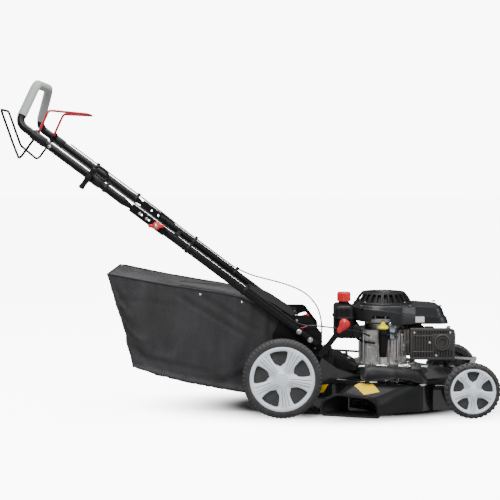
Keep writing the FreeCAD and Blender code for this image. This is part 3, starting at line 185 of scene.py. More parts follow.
def noise_node(made, size, detail=3.0, stretch=(1, 1, 1)):
    """Noise whose features are this many metres across, in the object's own coordinates."""
    nodes, links = made.node_tree.nodes, made.node_tree.links
    place = nodes.new("ShaderNodeTexCoord")
    squeeze = nodes.new("ShaderNodeMapping")
    squeeze.inputs["Scale"].default_value = stretch
    pattern = nodes.new("ShaderNodeTexNoise")
    pattern.inputs["Scale"].default_value = 1 / size
    pattern.inputs["Detail"].default_value = detail
    links.new(place.outputs["Object"], squeeze.inputs["Vector"])
    links.new(squeeze.outputs["Vector"], pattern.inputs["Vector"])
    return pattern


def ranged(made, source, low, high, from_low=0.3, from_high=0.7):
    span = made.node_tree.nodes.new("ShaderNodeMapRange")
    span.inputs["From Min"].default_value = from_low
    span.inputs["From Max"].default_value = from_high
    span.inputs["To Min"].default_value = low
    span.inputs["To Max"].default_value = high
    made.node_tree.links.new(source, span.inputs["Value"])
    return span.outputs["Result"]


def mixed(made, factor, first, second):
    """Colour mix; first is a colour or a socket, second a colour."""
    mix = made.node_tree.nodes.new("ShaderNodeMix")
    mix.data_type = "RGBA"
    made.node_tree.links.new(factor, mix.inputs["Factor"])
    if isinstance(first, tuple):
        mix.inputs["A"].default_value = (*first, 1)
    else:
        made.node_tree.links.new(first, mix.inputs["A"])
    mix.inputs["B"].default_value = (*second, 1)
    return mix.outputs["Result"]


def add_bump(made, height, depth, strength=1.0):
    """Bump of this depth in metres, added to any bump that is there."""
    nodes, links = made.node_tree.nodes, made.node_tree.links
    bump = nodes.new("ShaderNodeBump")
    bump.inputs["Distance"].default_value = depth
    bump.inputs["Strength"].default_value = strength
    links.new(height, bump.inputs["Height"])
    normal = shader_of(made).inputs["Normal"]
    if normal.links:
        links.new(normal.links[0].from_socket, bump.inputs["Normal"])
    links.new(bump.outputs["Normal"], normal)


def material(name, colour, roughness, metallic=0.0, coat=0.0, mottle=0.15, mottle_size=0.03,
             rough_vary=0.06, grain=0.0, grain_size=0.0012, worn=None, wear=0.0, sheen=0.0, specular=0.5,
             hollow_shade=None):
    """Base of each finish: uneven colour and gloss, surface grain, paler worn edges and painted shade that
    darkens the hollows.
    """
    made = bpy.data.materials.new(name)
    made.use_nodes = True
    shader = shader_of(made)
    shader.inputs["Metallic"].default_value = metallic
    shader.inputs["Coat Weight"].default_value = coat
    shader.inputs["Coat Roughness"].default_value = 0.08
    shader.inputs["Sheen Weight"].default_value = sheen
    shader.inputs["Specular IOR Level"].default_value = specular
    cloud = noise_node(made, mottle_size).outputs["Fac"]
    dark = tuple(c * (1 - mottle) for c in colour)
    pale = tuple(min(1.0, c * (1 + mottle)) for c in colour)
    base = mixed(made, ranged(made, cloud, 0, 1), dark, pale)
    edge = made.node_tree.nodes.new("ShaderNodeNewGeometry").outputs["Pointiness"]
    if wear:
        base = mixed(made, ranged(made, edge, 0, wear, 0.51, 0.56), base, worn)
    # Painted shade: concave places are mixed towards the darker hollow colour.
    if hollow_shade:
        base = mixed(made, ranged(made, edge, 1, 0, 0.455, 0.495), base, hollow_shade)
    made.node_tree.links.new(base, shader.inputs["Base Color"])
    speckle = noise_node(made, mottle_size / 6, 2.0).outputs["Fac"]
    gloss = ranged(made, speckle, max(0.02, roughness - rough_vary), roughness + rough_vary)
    made.node_tree.links.new(gloss, shader.inputs["Roughness"])
    if grain:
        add_bump(made, noise_node(made, grain_size, 2.0).outputs["Fac"], grain)
    return made


def wave_height(made, direction, spacing):
    """Ridges this many metres apart along one of the object's axes."""
    nodes, links = made.node_tree.nodes, made.node_tree.links
    place = nodes.new("ShaderNodeTexCoord")
    ridges = nodes.new("ShaderNodeTexWave")
    ridges.bands_direction = direction
    ridges.wave_profile = "SIN"
    ridges.inputs["Scale"].default_value = math.pi / (10 * spacing)
    ridges.inputs["Distortion"].default_value = 0.6
    ridges.inputs["Detail Scale"].default_value = 40.0
    links.new(place.outputs["Object"], ridges.inputs["Vector"])
    return ridges.outputs["Fac"]


def woven(name, colour, pale):
    """Polyester mesh cloth: crossed threads, pale streaks of painted sheen and a soft sheen."""
    made = material(name, colour, 0.62, mottle=0.3, mottle_size=0.12, sheen=0.12, rough_vary=0.05)
    across, upright = wave_height(made, "X", 0.0022), wave_height(made, "Z", 0.0022)
    sideways = wave_height(made, "Y", 0.0022)
    for ridges in (across, upright, sideways):
        add_bump(made, ridges, 0.00035, 0.5)
    # Painted sheen: pale streaks stretched along the cloth stand in for its sheen.
    sheen_streaks = noise_node(made, 0.16, 3.0, (2.2, 1.0, 0.7)).outputs["Fac"]
    shader = shader_of(made)
    base = shader.inputs["Base Color"].links[0].from_socket
    made.node_tree.links.new(mixed(made, ranged(made, sheen_streaks, 0, 0.45, 0.42, 0.75), base, pale),
                             shader.inputs["Base Color"])
    return made


MATERIALS = {
    "enamel": material("gloss_black_enamel", (0.004, 0.004, 0.005), 0.14, coat=0.3, grain=0.00006,
                       grain_size=0.004, wear=0.15, worn=(0.05, 0.05, 0.05), mottle_size=0.08),
    "tube": material("black_powder_coat", (0.007, 0.007, 0.008), 0.36, grain=0.00005, mottle_size=0.05,
                     specular=0.18),
    "zinc": material("zinc_plated_steel", (0.62, 0.63, 0.64), 0.30, metallic=1.0, mottle=0.12,
                     mottle_size=0.008, grain=0.00004, rough_vary=0.08),
    "dark_steel": material("ground_blade_steel", (0.22, 0.22, 0.23), 0.42, metallic=0.9, mottle=0.3,
                           mottle_size=0.02, grain=0.00008),
    "cast": material("cast_aluminium", (0.60, 0.59, 0.57), 0.40, metallic=0.85, mottle=0.16,
                     mottle_size=0.012, grain=0.00035, grain_size=0.0018, wear=0.5, worn=(0.85, 0.85, 0.84),
                     rough_vary=0.1),
    "cup": material("blued_zinc_cup", (0.42, 0.46, 0.52), 0.26, metallic=1.0, mottle=0.1, mottle_size=0.01),
    "fins": material("cast_fins", (0.30, 0.27, 0.245), 0.48, metallic=0.7, mottle=0.2, mottle_size=0.01,
                     grain=0.0003, wear=0.4, worn=(0.5, 0.47, 0.43)),
    "cowl": material("moulded_dark_grey", (0.014, 0.0145, 0.016), 0.38, mottle=0.12, grain=0.0001,
                     grain_size=0.0010, wear=0.25, worn=(0.045, 0.045, 0.047), specular=0.32),
    "plastic": material("grained_black_plastic", (0.006, 0.006, 0.007), 0.46, mottle=0.2, grain=0.00018,
                        grain_size=0.0014, wear=0.25, worn=(0.022, 0.022, 0.023), specular=0.22),
    "red": material("red_plastic", (0.62, 0.008, 0.014), 0.30, mottle=0.1, grain=0.00005, coat=0.2,
                    wear=0.3, worn=(0.8, 0.12, 0.1)),
    "red_wire": material("red_coated_wire", (0.50, 0.006, 0.022), 0.28, mottle=0.08, grain=0.00003,
                         coat=0.2),
    "yellow": material("yellow_plastic", (0.90, 0.78, 0.015), 0.38, mottle=0.08, grain=0.00006),
    "label": material("plain_yellow_label", (0.84, 0.55, 0.006), 0.55, specular=0.15, mottle=0.05,
                      mottle_size=0.01),
    "white": material("plain_white_label", (0.80, 0.79, 0.77), 0.40, mottle=0.04, mottle_size=0.01),
    # The wheel plastic is paler on its sharp edges; the darker colour in its hollows is painted shade.
    "wheel": material("pale_wheel_plastic", (0.78, 0.83, 0.89), 0.28, mottle=0.04, mottle_size=0.05,
                      grain=0.00004, wear=0.5, worn=(0.88, 0.90, 0.93), rough_vary=0.04,
                      hollow_shade=(0.26, 0.30, 0.35)),
    "wheel_dark": material("dark_wheel_drum", (0.035, 0.035, 0.036), 0.6, mottle=0.2, grain=0.00012),
    "tyre": material("tyre_rubber", (0.034, 0.034, 0.035), 0.66, mottle=0.22, mottle_size=0.02,
                     grain=0.0002, grain_size=0.0012, wear=0.5, worn=(0.10, 0.10, 0.10), specular=0.35),
    "foam": material("closed_cell_foam", (0.36, 0.385, 0.365), 0.85, mottle=0.06, mottle_size=0.015,
                     grain=0.0007, grain_size=0.0016, sheen=0.1, specular=0.25),
    "sleeve": material("cable_sleeve", (0.012, 0.012, 0.013), 0.42, mottle=0.15, grain=0.00005),
    "belt": material("belt_rubber", (0.02, 0.02, 0.02), 0.7, mottle=0.2, grain=0.0002),
    "guard": material("heat_proof_black", (0.014, 0.014, 0.014), 0.5, mottle=0.25, grain=0.0002,
                      wear=0.5, worn=(0.10, 0.095, 0.09)),
    # The bag cloth's second colour is the pale of its painted sheen streaks.
    "cloth": woven("woven_bag_cloth", (0.016, 0.016, 0.018), (0.055, 0.053, 0.062)),
    "binding": material("bag_binding", (0.010, 0.010, 0.011), 0.6, mottle=0.2, grain=0.0003,
                        grain_size=0.001, sheen=0.1),
}


def finished(name, mesh, finish, body="deck", replaces=(), sharp=40.0):
    """Turn a mesh, or a list of them, into a smooth piece with its finish and body."""
    if isinstance(mesh, list):
        mesh = merged(mesh)
    mesh.name = name
    for face in mesh.polygons:
        face.use_smooth = True
    mesh.set_sharp_from_angle(angle=math.radians(sharp))
    if not mesh.materials:
        mesh.materials.append(MATERIALS[finish])
    piece = bpy.data.objects.new(name, mesh)
    bpy.context.scene.collection.objects.link(piece)
    if body:
        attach(piece, body)
    if replaces:
        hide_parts(*replaces)
    return piece


def mesh_of(points, faces):
    mesh = bpy.data.meshes.new("piece")
    mesh.from_pydata([tuple(p) for p in points], [], faces)
    mesh.validate()
    return mesh


def outward(mesh):
    """Turn all faces outwards."""
    shape = bmesh.new()
    shape.from_mesh(mesh)
    bmesh.ops.remove_doubles(shape, verts=shape.verts, dist=1e-6)
    bmesh.ops.recalc_face_normals(shape, faces=shape.faces)
    shape.to_mesh(mesh)
    shape.free()
    return mesh


def loft(rings, closed=True, caps=True, looped=False):
    """Skin over rings that all have the same number of points."""
    count = len(rings[0])
    points = [p for ring in rings for p in ring]
    faces = []
    spans = len(rings) if looped else len(rings) - 1
    for i in range(spans):
        here, there = i * count, (i + 1) % len(rings) * count
        for k in range(count if closed else count - 1):
            n = (k + 1) % count
            faces.append((here + k, here + n, there + n, there + k))
    if caps and not looped:
        faces.append(tuple(range(count))[::-1])
        faces.append(tuple(range((len(rings) - 1) * count, len(rings) * count)))
    return outward(mesh_of(points, faces))


def revolved(profile, centre, axis, steps=64, closed=False):
    """Turned form; profile is (radius, height) pairs in metres, height along axis."""
    axis = Vector(axis).normalized()
    side = axis.orthogonal().normalized()
    across = axis.cross(side)
    rings = []
    for radius, height in profile:
        ring = []
        for i in range(steps):
            angle = 2 * math.pi * i / steps
            ring.append(centre + axis * height + (side * math.cos(angle) + across * math.sin(angle))
                        * radius)
        rings.append(ring)
    return loft(rings, looped=closed, caps=not closed)


def turned(profile, centre, axis, steps=64, closed=False):
    """Turned form whose profile of (radius, height) pairs is in millimetres."""
    return revolved([(radius * MM, height * MM) for radius, height in profile], centre, axis, steps, closed)


def smooth_line(points, samples=8):
    """Points along a Catmull-Rom curve through the given ones."""
    points = [Vector(p) for p in points]
    padded = [points[0] * 2 - points[1]] + points + [points[-1] * 2 - points[-2]]
    line = []
    for i in range(1, len(padded) - 2):
        a, b, c, d = padded[i - 1:i + 3]
        for k in range(samples):
            t = k / samples
            line.append(0.5 * ((2 * b) + (c - a) * t + (2 * a - 5 * b + 4 * c - d) * t ** 2
                               + (3 * b - a - 3 * c + d) * t ** 3))
    line.append(points[-1])
    return line


def nurbs_line(points, resolution):
    """Points read from the NURBS curve that the route's points control."""
    data = bpy.data.curves.new("route", "CURVE")
    data.dimensions = "3D"
    spline = data.splines.new("NURBS")
    spline.points.add(len(points) - 1)
    for spot, p in zip(spline.points, points):
        spot.co = (*p, 1)
    spline.order_u = 3
    spline.use_endpoint_u = True
    spline.resolution_u = resolution
    holder = bpy.data.objects.new("route", data)
    mesh = bpy.data.meshes.new_from_object(holder)
    line = [v.co.copy() for v in mesh.vertices]
    bpy.data.objects.remove(holder)
    bpy.data.curves.remove(data)
    bpy.data.meshes.remove(mesh)
    return line


def swept(line, radius, steps=14, scale=None, flat=1.0):
    """Round bar along a line; scale gives the radius factor at a share of the length, flat squeezes it."""
    rings = []
    count = len(line)
    side = None
    for i, here in enumerate(line):
        before = line[i - 1] if i else here
        after = line[i + 1] if i < count - 1 else here
        ahead = (after - before).normalized()
        if side is None:
            side = ahead.cross(Y_AXIS if abs(ahead.y) < 0.9 else Z_AXIS).normalized()
        side = (side - ahead * side.dot(ahead)).normalized()
        across = ahead.cross(side)
        factor = radius * (scale(i / (count - 1)) if scale else 1.0)
        rings.append([here + (side * math.cos(2 * math.pi * k / steps)
                              + across * flat * math.sin(2 * math.pi * k / steps)) * factor
                      for k in range(steps)])
    return loft(rings)


def rounded_end(share, ends=0.03):
    """Radius factor that rounds off both ends of a bar."""
    near = min(share, 1 - share) / ends
    return math.sqrt(max(0.0, 1 - (1 - min(1.0, near)) ** 2)) * 0.9 + 0.1


def slab(outline, axis, low, high, bevel=0.0, segments=2):
    """Plate from an outline of points, made thick along axis and with its edges rounded."""
    axis = Vector(axis)
    shape = bmesh.new()
    bottom = [shape.verts.new(Vector(p) + axis * low) for p in outline]
    top = [shape.verts.new(Vector(p) + axis * high) for p in outline]
    count = len(outline)
    shape.faces.new(bottom[::-1])
    shape.faces.new(top)
    for i in range(count):
        n = (i + 1) % count
        shape.faces.new((bottom[i], bottom[n], top[n], top[i]))
    bmesh.ops.recalc_face_normals(shape, faces=shape.faces)
    if bevel:
        edges = [e for e in shape.edges if e.is_manifold and e.calc_face_angle(0) > math.radians(35)]
        bmesh.ops.bevel(shape, geom=edges, offset=bevel, segments=segments, profile=0.6, affect="EDGES",
                        clamp_overlap=True)
    mesh = bpy.data.meshes.new("piece")
    shape.to_mesh(mesh)
    shape.free()
    return mesh


def box_mesh(low, high, bevel=0.0, turn=None):
    """Rounded box between two corners, turned about its middle by a matrix."""
    low, high = Vector(low), Vector(high)
    middle = (low + high) / 2
    shape = bmesh.new()
    bmesh.ops.create_cube(shape, size=1.0)
    for v in shape.verts:
        v.co = Vector((v.co.x * (high.x - low.x), v.co.y * (high.y - low.y), v.co.z * (high.z - low.z)))
    if bevel:
        bmesh.ops.bevel(shape, geom=shape.edges[:], offset=bevel, segments=3, profile=0.6, affect="EDGES",
                        clamp_overlap=True)
    if turn:
        bmesh.ops.transform(shape, matrix=turn, verts=shape.verts)
    bmesh.ops.translate(shape, vec=middle, verts=shape.verts)
    mesh = bpy.data.meshes.new("piece")
    shape.to_mesh(mesh)
    shape.free()
    return mesh


def merged(meshes):
    """One mesh from several; the sources are removed."""
    shape = bmesh.new()
    for mesh in meshes:
        shape.from_mesh(mesh)
        bpy.data.meshes.remove(mesh)
    made = bpy.data.meshes.new("piece")
    shape.to_mesh(made)
    shape.free()
    return made


# ---- wheels -------------------------------------------------------------------------------------
WINDOWS = 5                                        # openings in a wheel cover
REAR_RIM = 0.1035                                  # the size that the covers' depths are given for
EDGE_ROLL, EDGE_WIDTH = 0.0052, 0.036              # how far a window's edge is rolled in
WINDOW_SHAPE = [(0.0, 0.872), (0.10, 0.869), (0.20, 0.852), (0.270, 0.826), (0.276, 0.775), (0.250, 0.68),
                (0.212, 0.59), (0.180, 0.525), (0.138, 0.470), (0.075, 0.440), (0.0, 0.430)]
COVER_DOME = [(0.0, 3.4), (0.10, 3.2), (0.19, 2.2), (0.25, 0.6), (0.45, -2.4), (0.66, -3.0), (0.84, -0.6),
              (0.90, 1.4), (0.95, 1.5), (0.985, 0.4), (1.0, -2.0)]


class Wheel:
    """Where a wheel is and how it faces, worked out from its tyre's box."""

    def __init__(self, end, side, rim_share, first_window):
        low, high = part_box(f"{end}_tyre_{side}")
        self.name, self.end, self.side = f"{end}_wheel_{side}", end, side
        self.hub = (low + high) / 2
        self.radius = (high.z - low.z) / 2
        self.half = (high.y - low.y) / 2
        self.rim = self.radius * rim_share
        self.out = -1 if side == "right" else 1
        self.first_window = first_window

    def point(self, radius, angle, out):
        """Angle is anticlockwise as seen from outside the wheel; out is along the axle from the middle."""
        across = X_AXIS * -self.out
        return (self.hub + (across * math.cos(angle) + Z_AXIS * math.sin(angle)) * radius
                + Y_AXIS * self.out * out)


def window_radius():
    """The window's edge as a radius for each direction about its middle, and that middle, in rim radii."""
    right = WINDOW_SHAPE
    outline = right + [(-x, r) for x, r in right[-2:0:-1]]
    for _ in range(2):
        cut = []
        for a, b in zip(outline, outline[1:] + outline[:1]):
            cut += [(0.75 * a[0] + 0.25 * b[0], 0.75 * a[1] + 0.25 * b[1]),
                    (0.25 * a[0] + 0.75 * b[0], 0.25 * a[1] + 0.75 * b[1])]
        outline = cut
    middle = 0.68
    angles = np.array([math.atan2(x, r - middle) for x, r in outline])
    reach = np.array([math.hypot(x, r - middle) for x, r in outline])
    order = np.argsort(angles)
    return middle, angles[order], reach[order]


def sector_border(hub_share):
    """Points round one fifth of the cover: along the hub, out along a spoke, along the rim and back."""
    half = math.pi / WINDOWS
    arc_in = [(hub_share, t) for t in np.linspace(half, -half, 17)]
    side = [(r, -half) for r in np.linspace(hub_share, 1.0, 37)[1:]]
    arc_out = [(1.0, t) for t in np.linspace(-half, half, 41)[1:]]
    back = [(r, half) for r in np.linspace(1.0, hub_share, 37)[1:-1]]
    return arc_in + side + arc_out + back


def cover_height(share, angle, wall, half):
    """Height in metres of the cover's face; angle is from the window's middle line, wall from its edge."""
    dome_r, dome_h = zip(*COVER_DOME)
    height = half + float(np.interp(share, dome_r, dome_h)) * MM
    spoke = (math.pi / WINDOWS - abs(angle)) * share
    length = min(1.0, max(0.0, (share - 0.2) / 0.12)) * min(1.0, max(0.0, (0.9 - share) / 0.06))
    height += 0.0036 * length * max(0.0, 1 - spoke / 0.13)
    for groove in (0.0, 0.085):
        height -= 0.0030 * length * math.exp(-((spoke - groove * (0.35 + share)) / 0.015) ** 2)
    valley = math.exp(-(angle * share / 0.10) ** 2) * min(1.0, max(0.0, (share - 0.19) / 0.22))
    if share < 0.56:
        height -= 0.0118 * valley
    return height - EDGE_ROLL * math.exp(-wall / EDGE_WIDTH)


def wheel_cover(wheel):
    """Moulded cover: five shield-shaped windows with rolled-in edges, ridged spokes and a domed hub."""
    hub_share, rings, depth = 0.19, 30, 0.011
    middle, angles, reach = window_radius()
    border = sector_border(hub_share)
    scale = wheel.rim / REAR_RIM
    points, faces = [], []
    for window in range(WINDOWS):
        turn = wheel.first_window + 2 * math.pi * window / WINDOWS
        first = len(points)
        loops = [("wall", 1.0), ("wall", 0.55), ("wall", 0.2)]
        loops += [("face", (ring / rings) ** 1.35) for ring in range(rings + 1)]
        for kind, value in loops:
            for r_out, t_out in border:
                x_out, y_out = r_out * math.sin(t_out), r_out * math.cos(t_out)
                heading = math.atan2(x_out, y_out - middle)
                edge = float(np.interp(heading, angles, reach, period=2 * math.pi))
                x_in, y_in = edge * math.sin(heading), middle + edge * math.cos(heading)
                ease = value if kind == "face" else 0.0
                x, y = x_in + (x_out - x_in) * ease, y_in + (y_out - y_in) * ease
                share, angle = math.hypot(x, y), math.atan2(x, y)
                wall = math.hypot(x - x_in, y - y_in)
                out = cover_height(share, angle, wall, wheel.half)
                if kind == "wall":
                    out -= depth * value * scale
                points.append(wheel.point(share * wheel.rim, turn - angle, out))
        count = len(border)
        for ring in range(rings + 3):
            here, there = first + ring * count, first + (ring + 1) * count
            faces += [(here + k, here + (k + 1) % count, there + (k + 1) % count, there + k)
                      for k in range(count)]
    steps = 16 * WINDOWS
    start = len(points)
    shares = [hub_share, 0.16, 0.145, 0.13, 0.10, 0.065, 0.03]
    for share in shares:
        for k in range(steps):
            angle = wheel.first_window + 2 * math.pi * k / steps - math.pi / WINDOWS
            out = cover_height(share, 0.0, 1.0, wheel.half)
            if share == 0.145:
                out -= 0.0007
            points.append(wheel.point(share * wheel.rim, angle, out))
    for ring in range(len(shares) - 1):
        here, there = start + ring * steps, start + (ring + 1) * steps
        faces += [(here + k, here + (k + 1) % steps, there + (k + 1) % steps, there + k)
                  for k in range(steps)]
    faces.append(tuple(start + (len(shares) - 1) * steps + k for k in range(steps)))
    rim = len(points)
    rim_steps = 40 * WINDOWS
    lip = [(1.0, -2.0), (1.004, -3.2), (0.998, -6.0), (0.985, -9.0)]
    for share, drop in lip:
        for k in range(rim_steps):
            angle = wheel.first_window + 2 * math.pi * k / rim_steps - math.pi / WINDOWS
            drop_here = drop * MM - (EDGE_ROLL * math.exp(-0.13 / EDGE_WIDTH) if share == 1.0 else 0)
            points.append(wheel.point(share * wheel.rim, angle, wheel.half + drop_here))
    for ring in range(len(lip) - 1):
        here, there = rim + ring * rim_steps, rim + (ring + 1) * rim_steps
        faces += [(here + k, here + (k + 1) % rim_steps, there + (k + 1) % rim_steps, there + k)
                  for k in range(rim_steps)]
    mesh = mesh_of(points, faces)
    shape = bmesh.new()
    shape.from_mesh(mesh)
    bmesh.ops.remove_doubles(shape, verts=shape.verts, dist=0.00012)
    bmesh.ops.recalc_face_normals(shape, faces=shape.faces)
    probe = min(shape.faces, key=lambda f: (f.calc_center_median() - wheel.point(0, 0, wheel.half)).length)
    if probe.normal.y * wheel.out < 0:
        bmesh.ops.reverse_faces(shape, faces=shape.faces)
    shape.to_mesh(mesh)
    shape.free()
    return finished(wheel.name + "_cover", mesh, "wheel", wheel.name, replaces=(wheel.name,), sharp=50)


def wheel_drum(wheel):
    """The dark drum behind the cover, with its hub, back ribs and inner rim."""
    half, rim = wheel.half, wheel.rim
    seat = rim - 0.0042
    axis = Y_AXIS * wheel.out
    bore = 0.0061
    profile = [(bore, half - 0.016), (0.028, half - 0.0145), (seat - 0.003, half - 0.0155),
               (seat, half - 0.006), (seat + 0.001, half - 0.004), (seat + 0.001, -half + 0.006),
               (seat - 0.004, -half + 0.0055), (seat - 0.007, half - 0.021),
               (0.072 * rim / REAR_RIM, half - 0.022), (0.066 * rim / REAR_RIM, half - 0.024),
               (0.02, half - 0.023), (0.018, -half + 0.004), (0.0165, -half + 0.002), (bore, -half + 0.002)]
    parts = [revolved(profile, wheel.hub, axis, 96, closed=True)]
    for k in range(10):
        angle = 2 * math.pi * (k + 0.5) / 10
        inner, outer = 0.018, seat - 0.006
        rib = []
        for radius, out in ((inner, -half + 0.008), (outer, -half + 0.014), (outer, half - 0.022),
                            (inner, half - 0.022)):
            rib.append(wheel.point(radius, angle, out) - wheel.hub)
        sideways = wheel.point(1, angle + math.pi / 2, 0) - wheel.hub
        parts.append(slab([p + wheel.hub for p in rib], sideways.normalized(), -0.0012, 0.0012))
    mesh = merged(parts)
    finished(wheel.name + "_drum", mesh, "wheel_dark", wheel.name)


def tread(wheel, lugs, depth, shoulder):
    """Moulded tyre: stepped shoulder lugs, a ribbed middle and beads that grip the rim."""
    half, radius, rim = wheel.half, wheel.radius, wheel.rim
    profile = [(rim - 0.0035, 0.82, 0.0), (rim + 0.0005, 0.93, 0.0), (rim + 0.004, 0.985, 0.0),
               (rim + 0.007, 1.0, 0.0), (radius - 0.013, 0.985, 0.0), (radius - 0.0105, 0.95, 0.0),
               (radius - 0.0095, 0.945, 0.35), (radius - 0.0055, 0.87, shoulder),
               (radius - 0.002, 0.74, 1.0), (radius - 0.0006, 0.56, 1.0), (radius, 0.40, 1.0),
               (radius, 0.37, 1.0), (radius, 0.33, -1.0), (radius, 0.29, -1.0), (radius, 0.25, 0.5),
               (radius, 0.0, 0.5)]
    steps = 8
    rings = []
    for k in range(lugs * steps):
        phase = (k % steps) / steps
        angle = 2 * math.pi * k / (lugs * steps)
        ring = []
        for side in (1, -1):
            shifted = (phase + (0.5 if side < 0 else 0.0)) % 1.0
            raised = 1.0 if shifted < 0.56 else 0.0
            spots = profile if side > 0 else profile[-2::-1]
            for r, out, lug in spots:
                cut = depth if lug < 0 else depth * lug * (1 - raised)
                ring.append(wheel.point(r - cut, angle, side * out * half))
        rings.append(ring)
    name = f"{wheel.end}_tyre_{wheel.side}"
    mesh = loft(rings, closed=True, caps=False, looped=True)
    finished(name + "_rubber", mesh, "tyre", wheel.name, replaces=(name,), sharp=38)


def make_wheels():
    for side in ("right", "left"):
        rear = Wheel("rear", side, 0.815, math.radians(98))
        front = Wheel("front", side, 0.809, math.radians(90))
        for wheel in (rear, front):
            wheel_cover(wheel)
            wheel_drum(wheel)
        tread(rear, 58, 0.0021, 0.9)
        tread(front, 34, 0.0032, 1.0)


# ---- grass bag ----------------------------------------------------------------------------------
BAG_TOP = [(8, 300), (-60, 346), (-133, 378), (-200, 394), (-260, 403), (-387, 424), (-480, 442),
           (-554, 457)]
BAG_BOTTOM = [(8, 156), (-14, 108), (-50, 82), (-118, 78), (-200, 92), (-300, 112), (-400, 138),
              (-474, 160)]
BAG_FRONT_HALF, BAG_REAR_HALF = 163.0, 210.0
BAG_REAR = -556.0


def along(points, share):
    """The point this share of the way along a line of (x, z) points."""
    lengths = [0.0]
    for a, b in zip(points, points[1:]):
        lengths.append(lengths[-1] + math.dist(a, b))
    spot = share * lengths[-1]
    return (float(np.interp(spot, lengths, [p[0] for p in points])),
            float(np.interp(spot, lengths, [p[1] for p in points])))


def bag_half(x):
    return BAG_FRONT_HALF + (BAG_REAR_HALF - BAG_FRONT_HALF) * (8 - x) / (8 - BAG_REAR)


BAG_LENGTHS, BAG_HEIGHTS, BAG_WIDTHS = 62, 34, 40


def bag_side_point(share, height):
    """(x, z) on the bag's side: share runs from the mouth to the rear, height from bottom to top."""
    top, bottom = along(BAG_TOP, share), along(BAG_BOTTOM, share)
    x, z = bottom[0] + (top[0] - bottom[0]) * height, bottom[1] + (top[1] - bottom[1]) * height
    if share > 0.97:
        x += 8 * math.sin(math.pi * height)
    return x, z


def bag_grid():
    """The bag's shell as a mesh of four walls and a rear panel, and the places of its seams."""
    points, index = [], {}

    def add(key, x, y, z):
        if key not in index:
            index[key] = len(points)
            points.append(at(x, y, z))
        return index[key]

    faces, seams = [], set()
    for i in range(BAG_LENGTHS + 1):
        share = i / BAG_LENGTHS
        for j in range(BAG_HEIGHTS + 1):
            x, z = bag_side_point(share, j / BAG_HEIGHTS)
            for side in (-1, 1):
                add(("side", side, i, j), x, side * bag_half(x), z)
                if j in (0, BAG_HEIGHTS) or i in (0, BAG_LENGTHS):
                    seams.add(index[("side", side, i, j)])
        for level in (0, BAG_HEIGHTS):
            x, z = bag_side_point(share, level / BAG_HEIGHTS)
            for k in range(1, BAG_WIDTHS):
                spot = add(("flat", level, i, k), x, (2 * k / BAG_WIDTHS - 1) * bag_half(x), z)
                if i in (0, BAG_LENGTHS):
                    seams.add(spot)
    for j in range(1, BAG_HEIGHTS):
        x, z = bag_side_point(1.0, j / BAG_HEIGHTS)
        for k in range(1, BAG_WIDTHS):
            add(("rear", j, k), x, (2 * k / BAG_WIDTHS - 1) * bag_half(x), z)

    def flat(level, i, k):
        if k in (0, BAG_WIDTHS):
            return index[("side", -1 if k == 0 else 1, i, level)]
        return index[("flat", level, i, k)]

    def rear(j, k):
        if k in (0, BAG_WIDTHS):
            return index[("side", -1 if k == 0 else 1, BAG_LENGTHS, j)]
        if j in (0, BAG_HEIGHTS):
            return index[("flat", j, BAG_LENGTHS, k)]
        return index[("rear", j, k)]

    for i in range(BAG_LENGTHS):
        for j in range(BAG_HEIGHTS):
            for side in (-1, 1):
                faces.append([index[("side", side, *spot)]
                              for spot in ((i, j), (i + 1, j), (i + 1, j + 1), (i, j + 1))])
        for level in (0, BAG_HEIGHTS):
            for k in range(BAG_WIDTHS):
                faces.append([flat(level, i, k), flat(level, i + 1, k), flat(level, i + 1, k + 1),
                              flat(level, i, k + 1)])
    for j in range(BAG_HEIGHTS):
        for k in range(BAG_WIDTHS):
            faces.append([rear(j, k), rear(j + 1, k), rear(j + 1, k + 1), rear(j, k + 1)])
    return points, faces, sorted(seams)


def settle_cloth(piece, pinned, slack, frames, most):
    """Let the cloth hang between its pinned points; no point moves further than most."""
    start = [v.co.copy() for v in piece.data.vertices]
    pins = piece.vertex_groups.new(name="pins")
    pins.add(pinned, 1.0, "REPLACE")
    cloth = piece.modifiers.new("cloth", "CLOTH")
    settings = cloth.settings
    settings.vertex_group_mass = "pins"
    settings.quality = 6
    settings.mass = 0.12
    settings.air_damping = 3.0
    settings.tension_stiffness = settings.compression_stiffness = 18
    settings.shear_stiffness = 8
    settings.bending_stiffness = 0.35
    settings.shrink_min = -slack
    cloth.collision_settings.use_collision = False
    for frame_number in range(1, frames + 1):
        bpy.context.scene.frame_set(frame_number)
    shaped = bpy.data.meshes.new_from_object(piece.evaluated_get(bpy.context.evaluated_depsgraph_get()))
    piece.modifiers.remove(cloth)
    piece.vertex_groups.remove(pins)
    for vertex, settled, before in zip(piece.data.vertices, shaped.vertices, start):
        move = settled.co - before
        vertex.co = before + move * min(1.0, most / max(move.length, 1e-9))
    bpy.data.meshes.remove(shaped)
    bpy.context.scene.frame_set(1)


CREASES = [((-350, 398), (-96, 240), 4.2), ((-268, 392), (-70, 266), 3.4), ((-548, 440), (-470, 300), 3.0),
           ((-540, 380), (-300, 352), 1.8), ((-450, 190), (-200, 130), 2.4)]


def crease_side(piece):
    """Pull the folds that the bag's side panels hold."""
    for vertex in piece.data.vertices:
        x, y, z = (vertex.co.x - AXLE_X) / MM, (vertex.co.y - MIDDLE_Y) / MM, vertex.co.z / MM
        if abs(y) < bag_half(x) - 25:
            continue
        pull = 0.0
        for (x0, z0), (x1, z1), depth in CREASES:
            length = math.hypot(x1 - x0, z1 - z0)
            ahead = ((x - x0) * (x1 - x0) + (z - z0) * (z1 - z0)) / length
            off = ((x - x0) * -(z1 - z0) + (z - z0) * (x1 - x0)) / length
            fade = max(0.0, min(1.0, ahead / 40, (length - ahead) / 60))
            pull += depth * fade * (math.exp(-(off / 6) ** 2) - 0.45 * math.exp(-((off - 13) / 9) ** 2))
        vertex.co.y += -math.copysign(1, y) * pull * MM


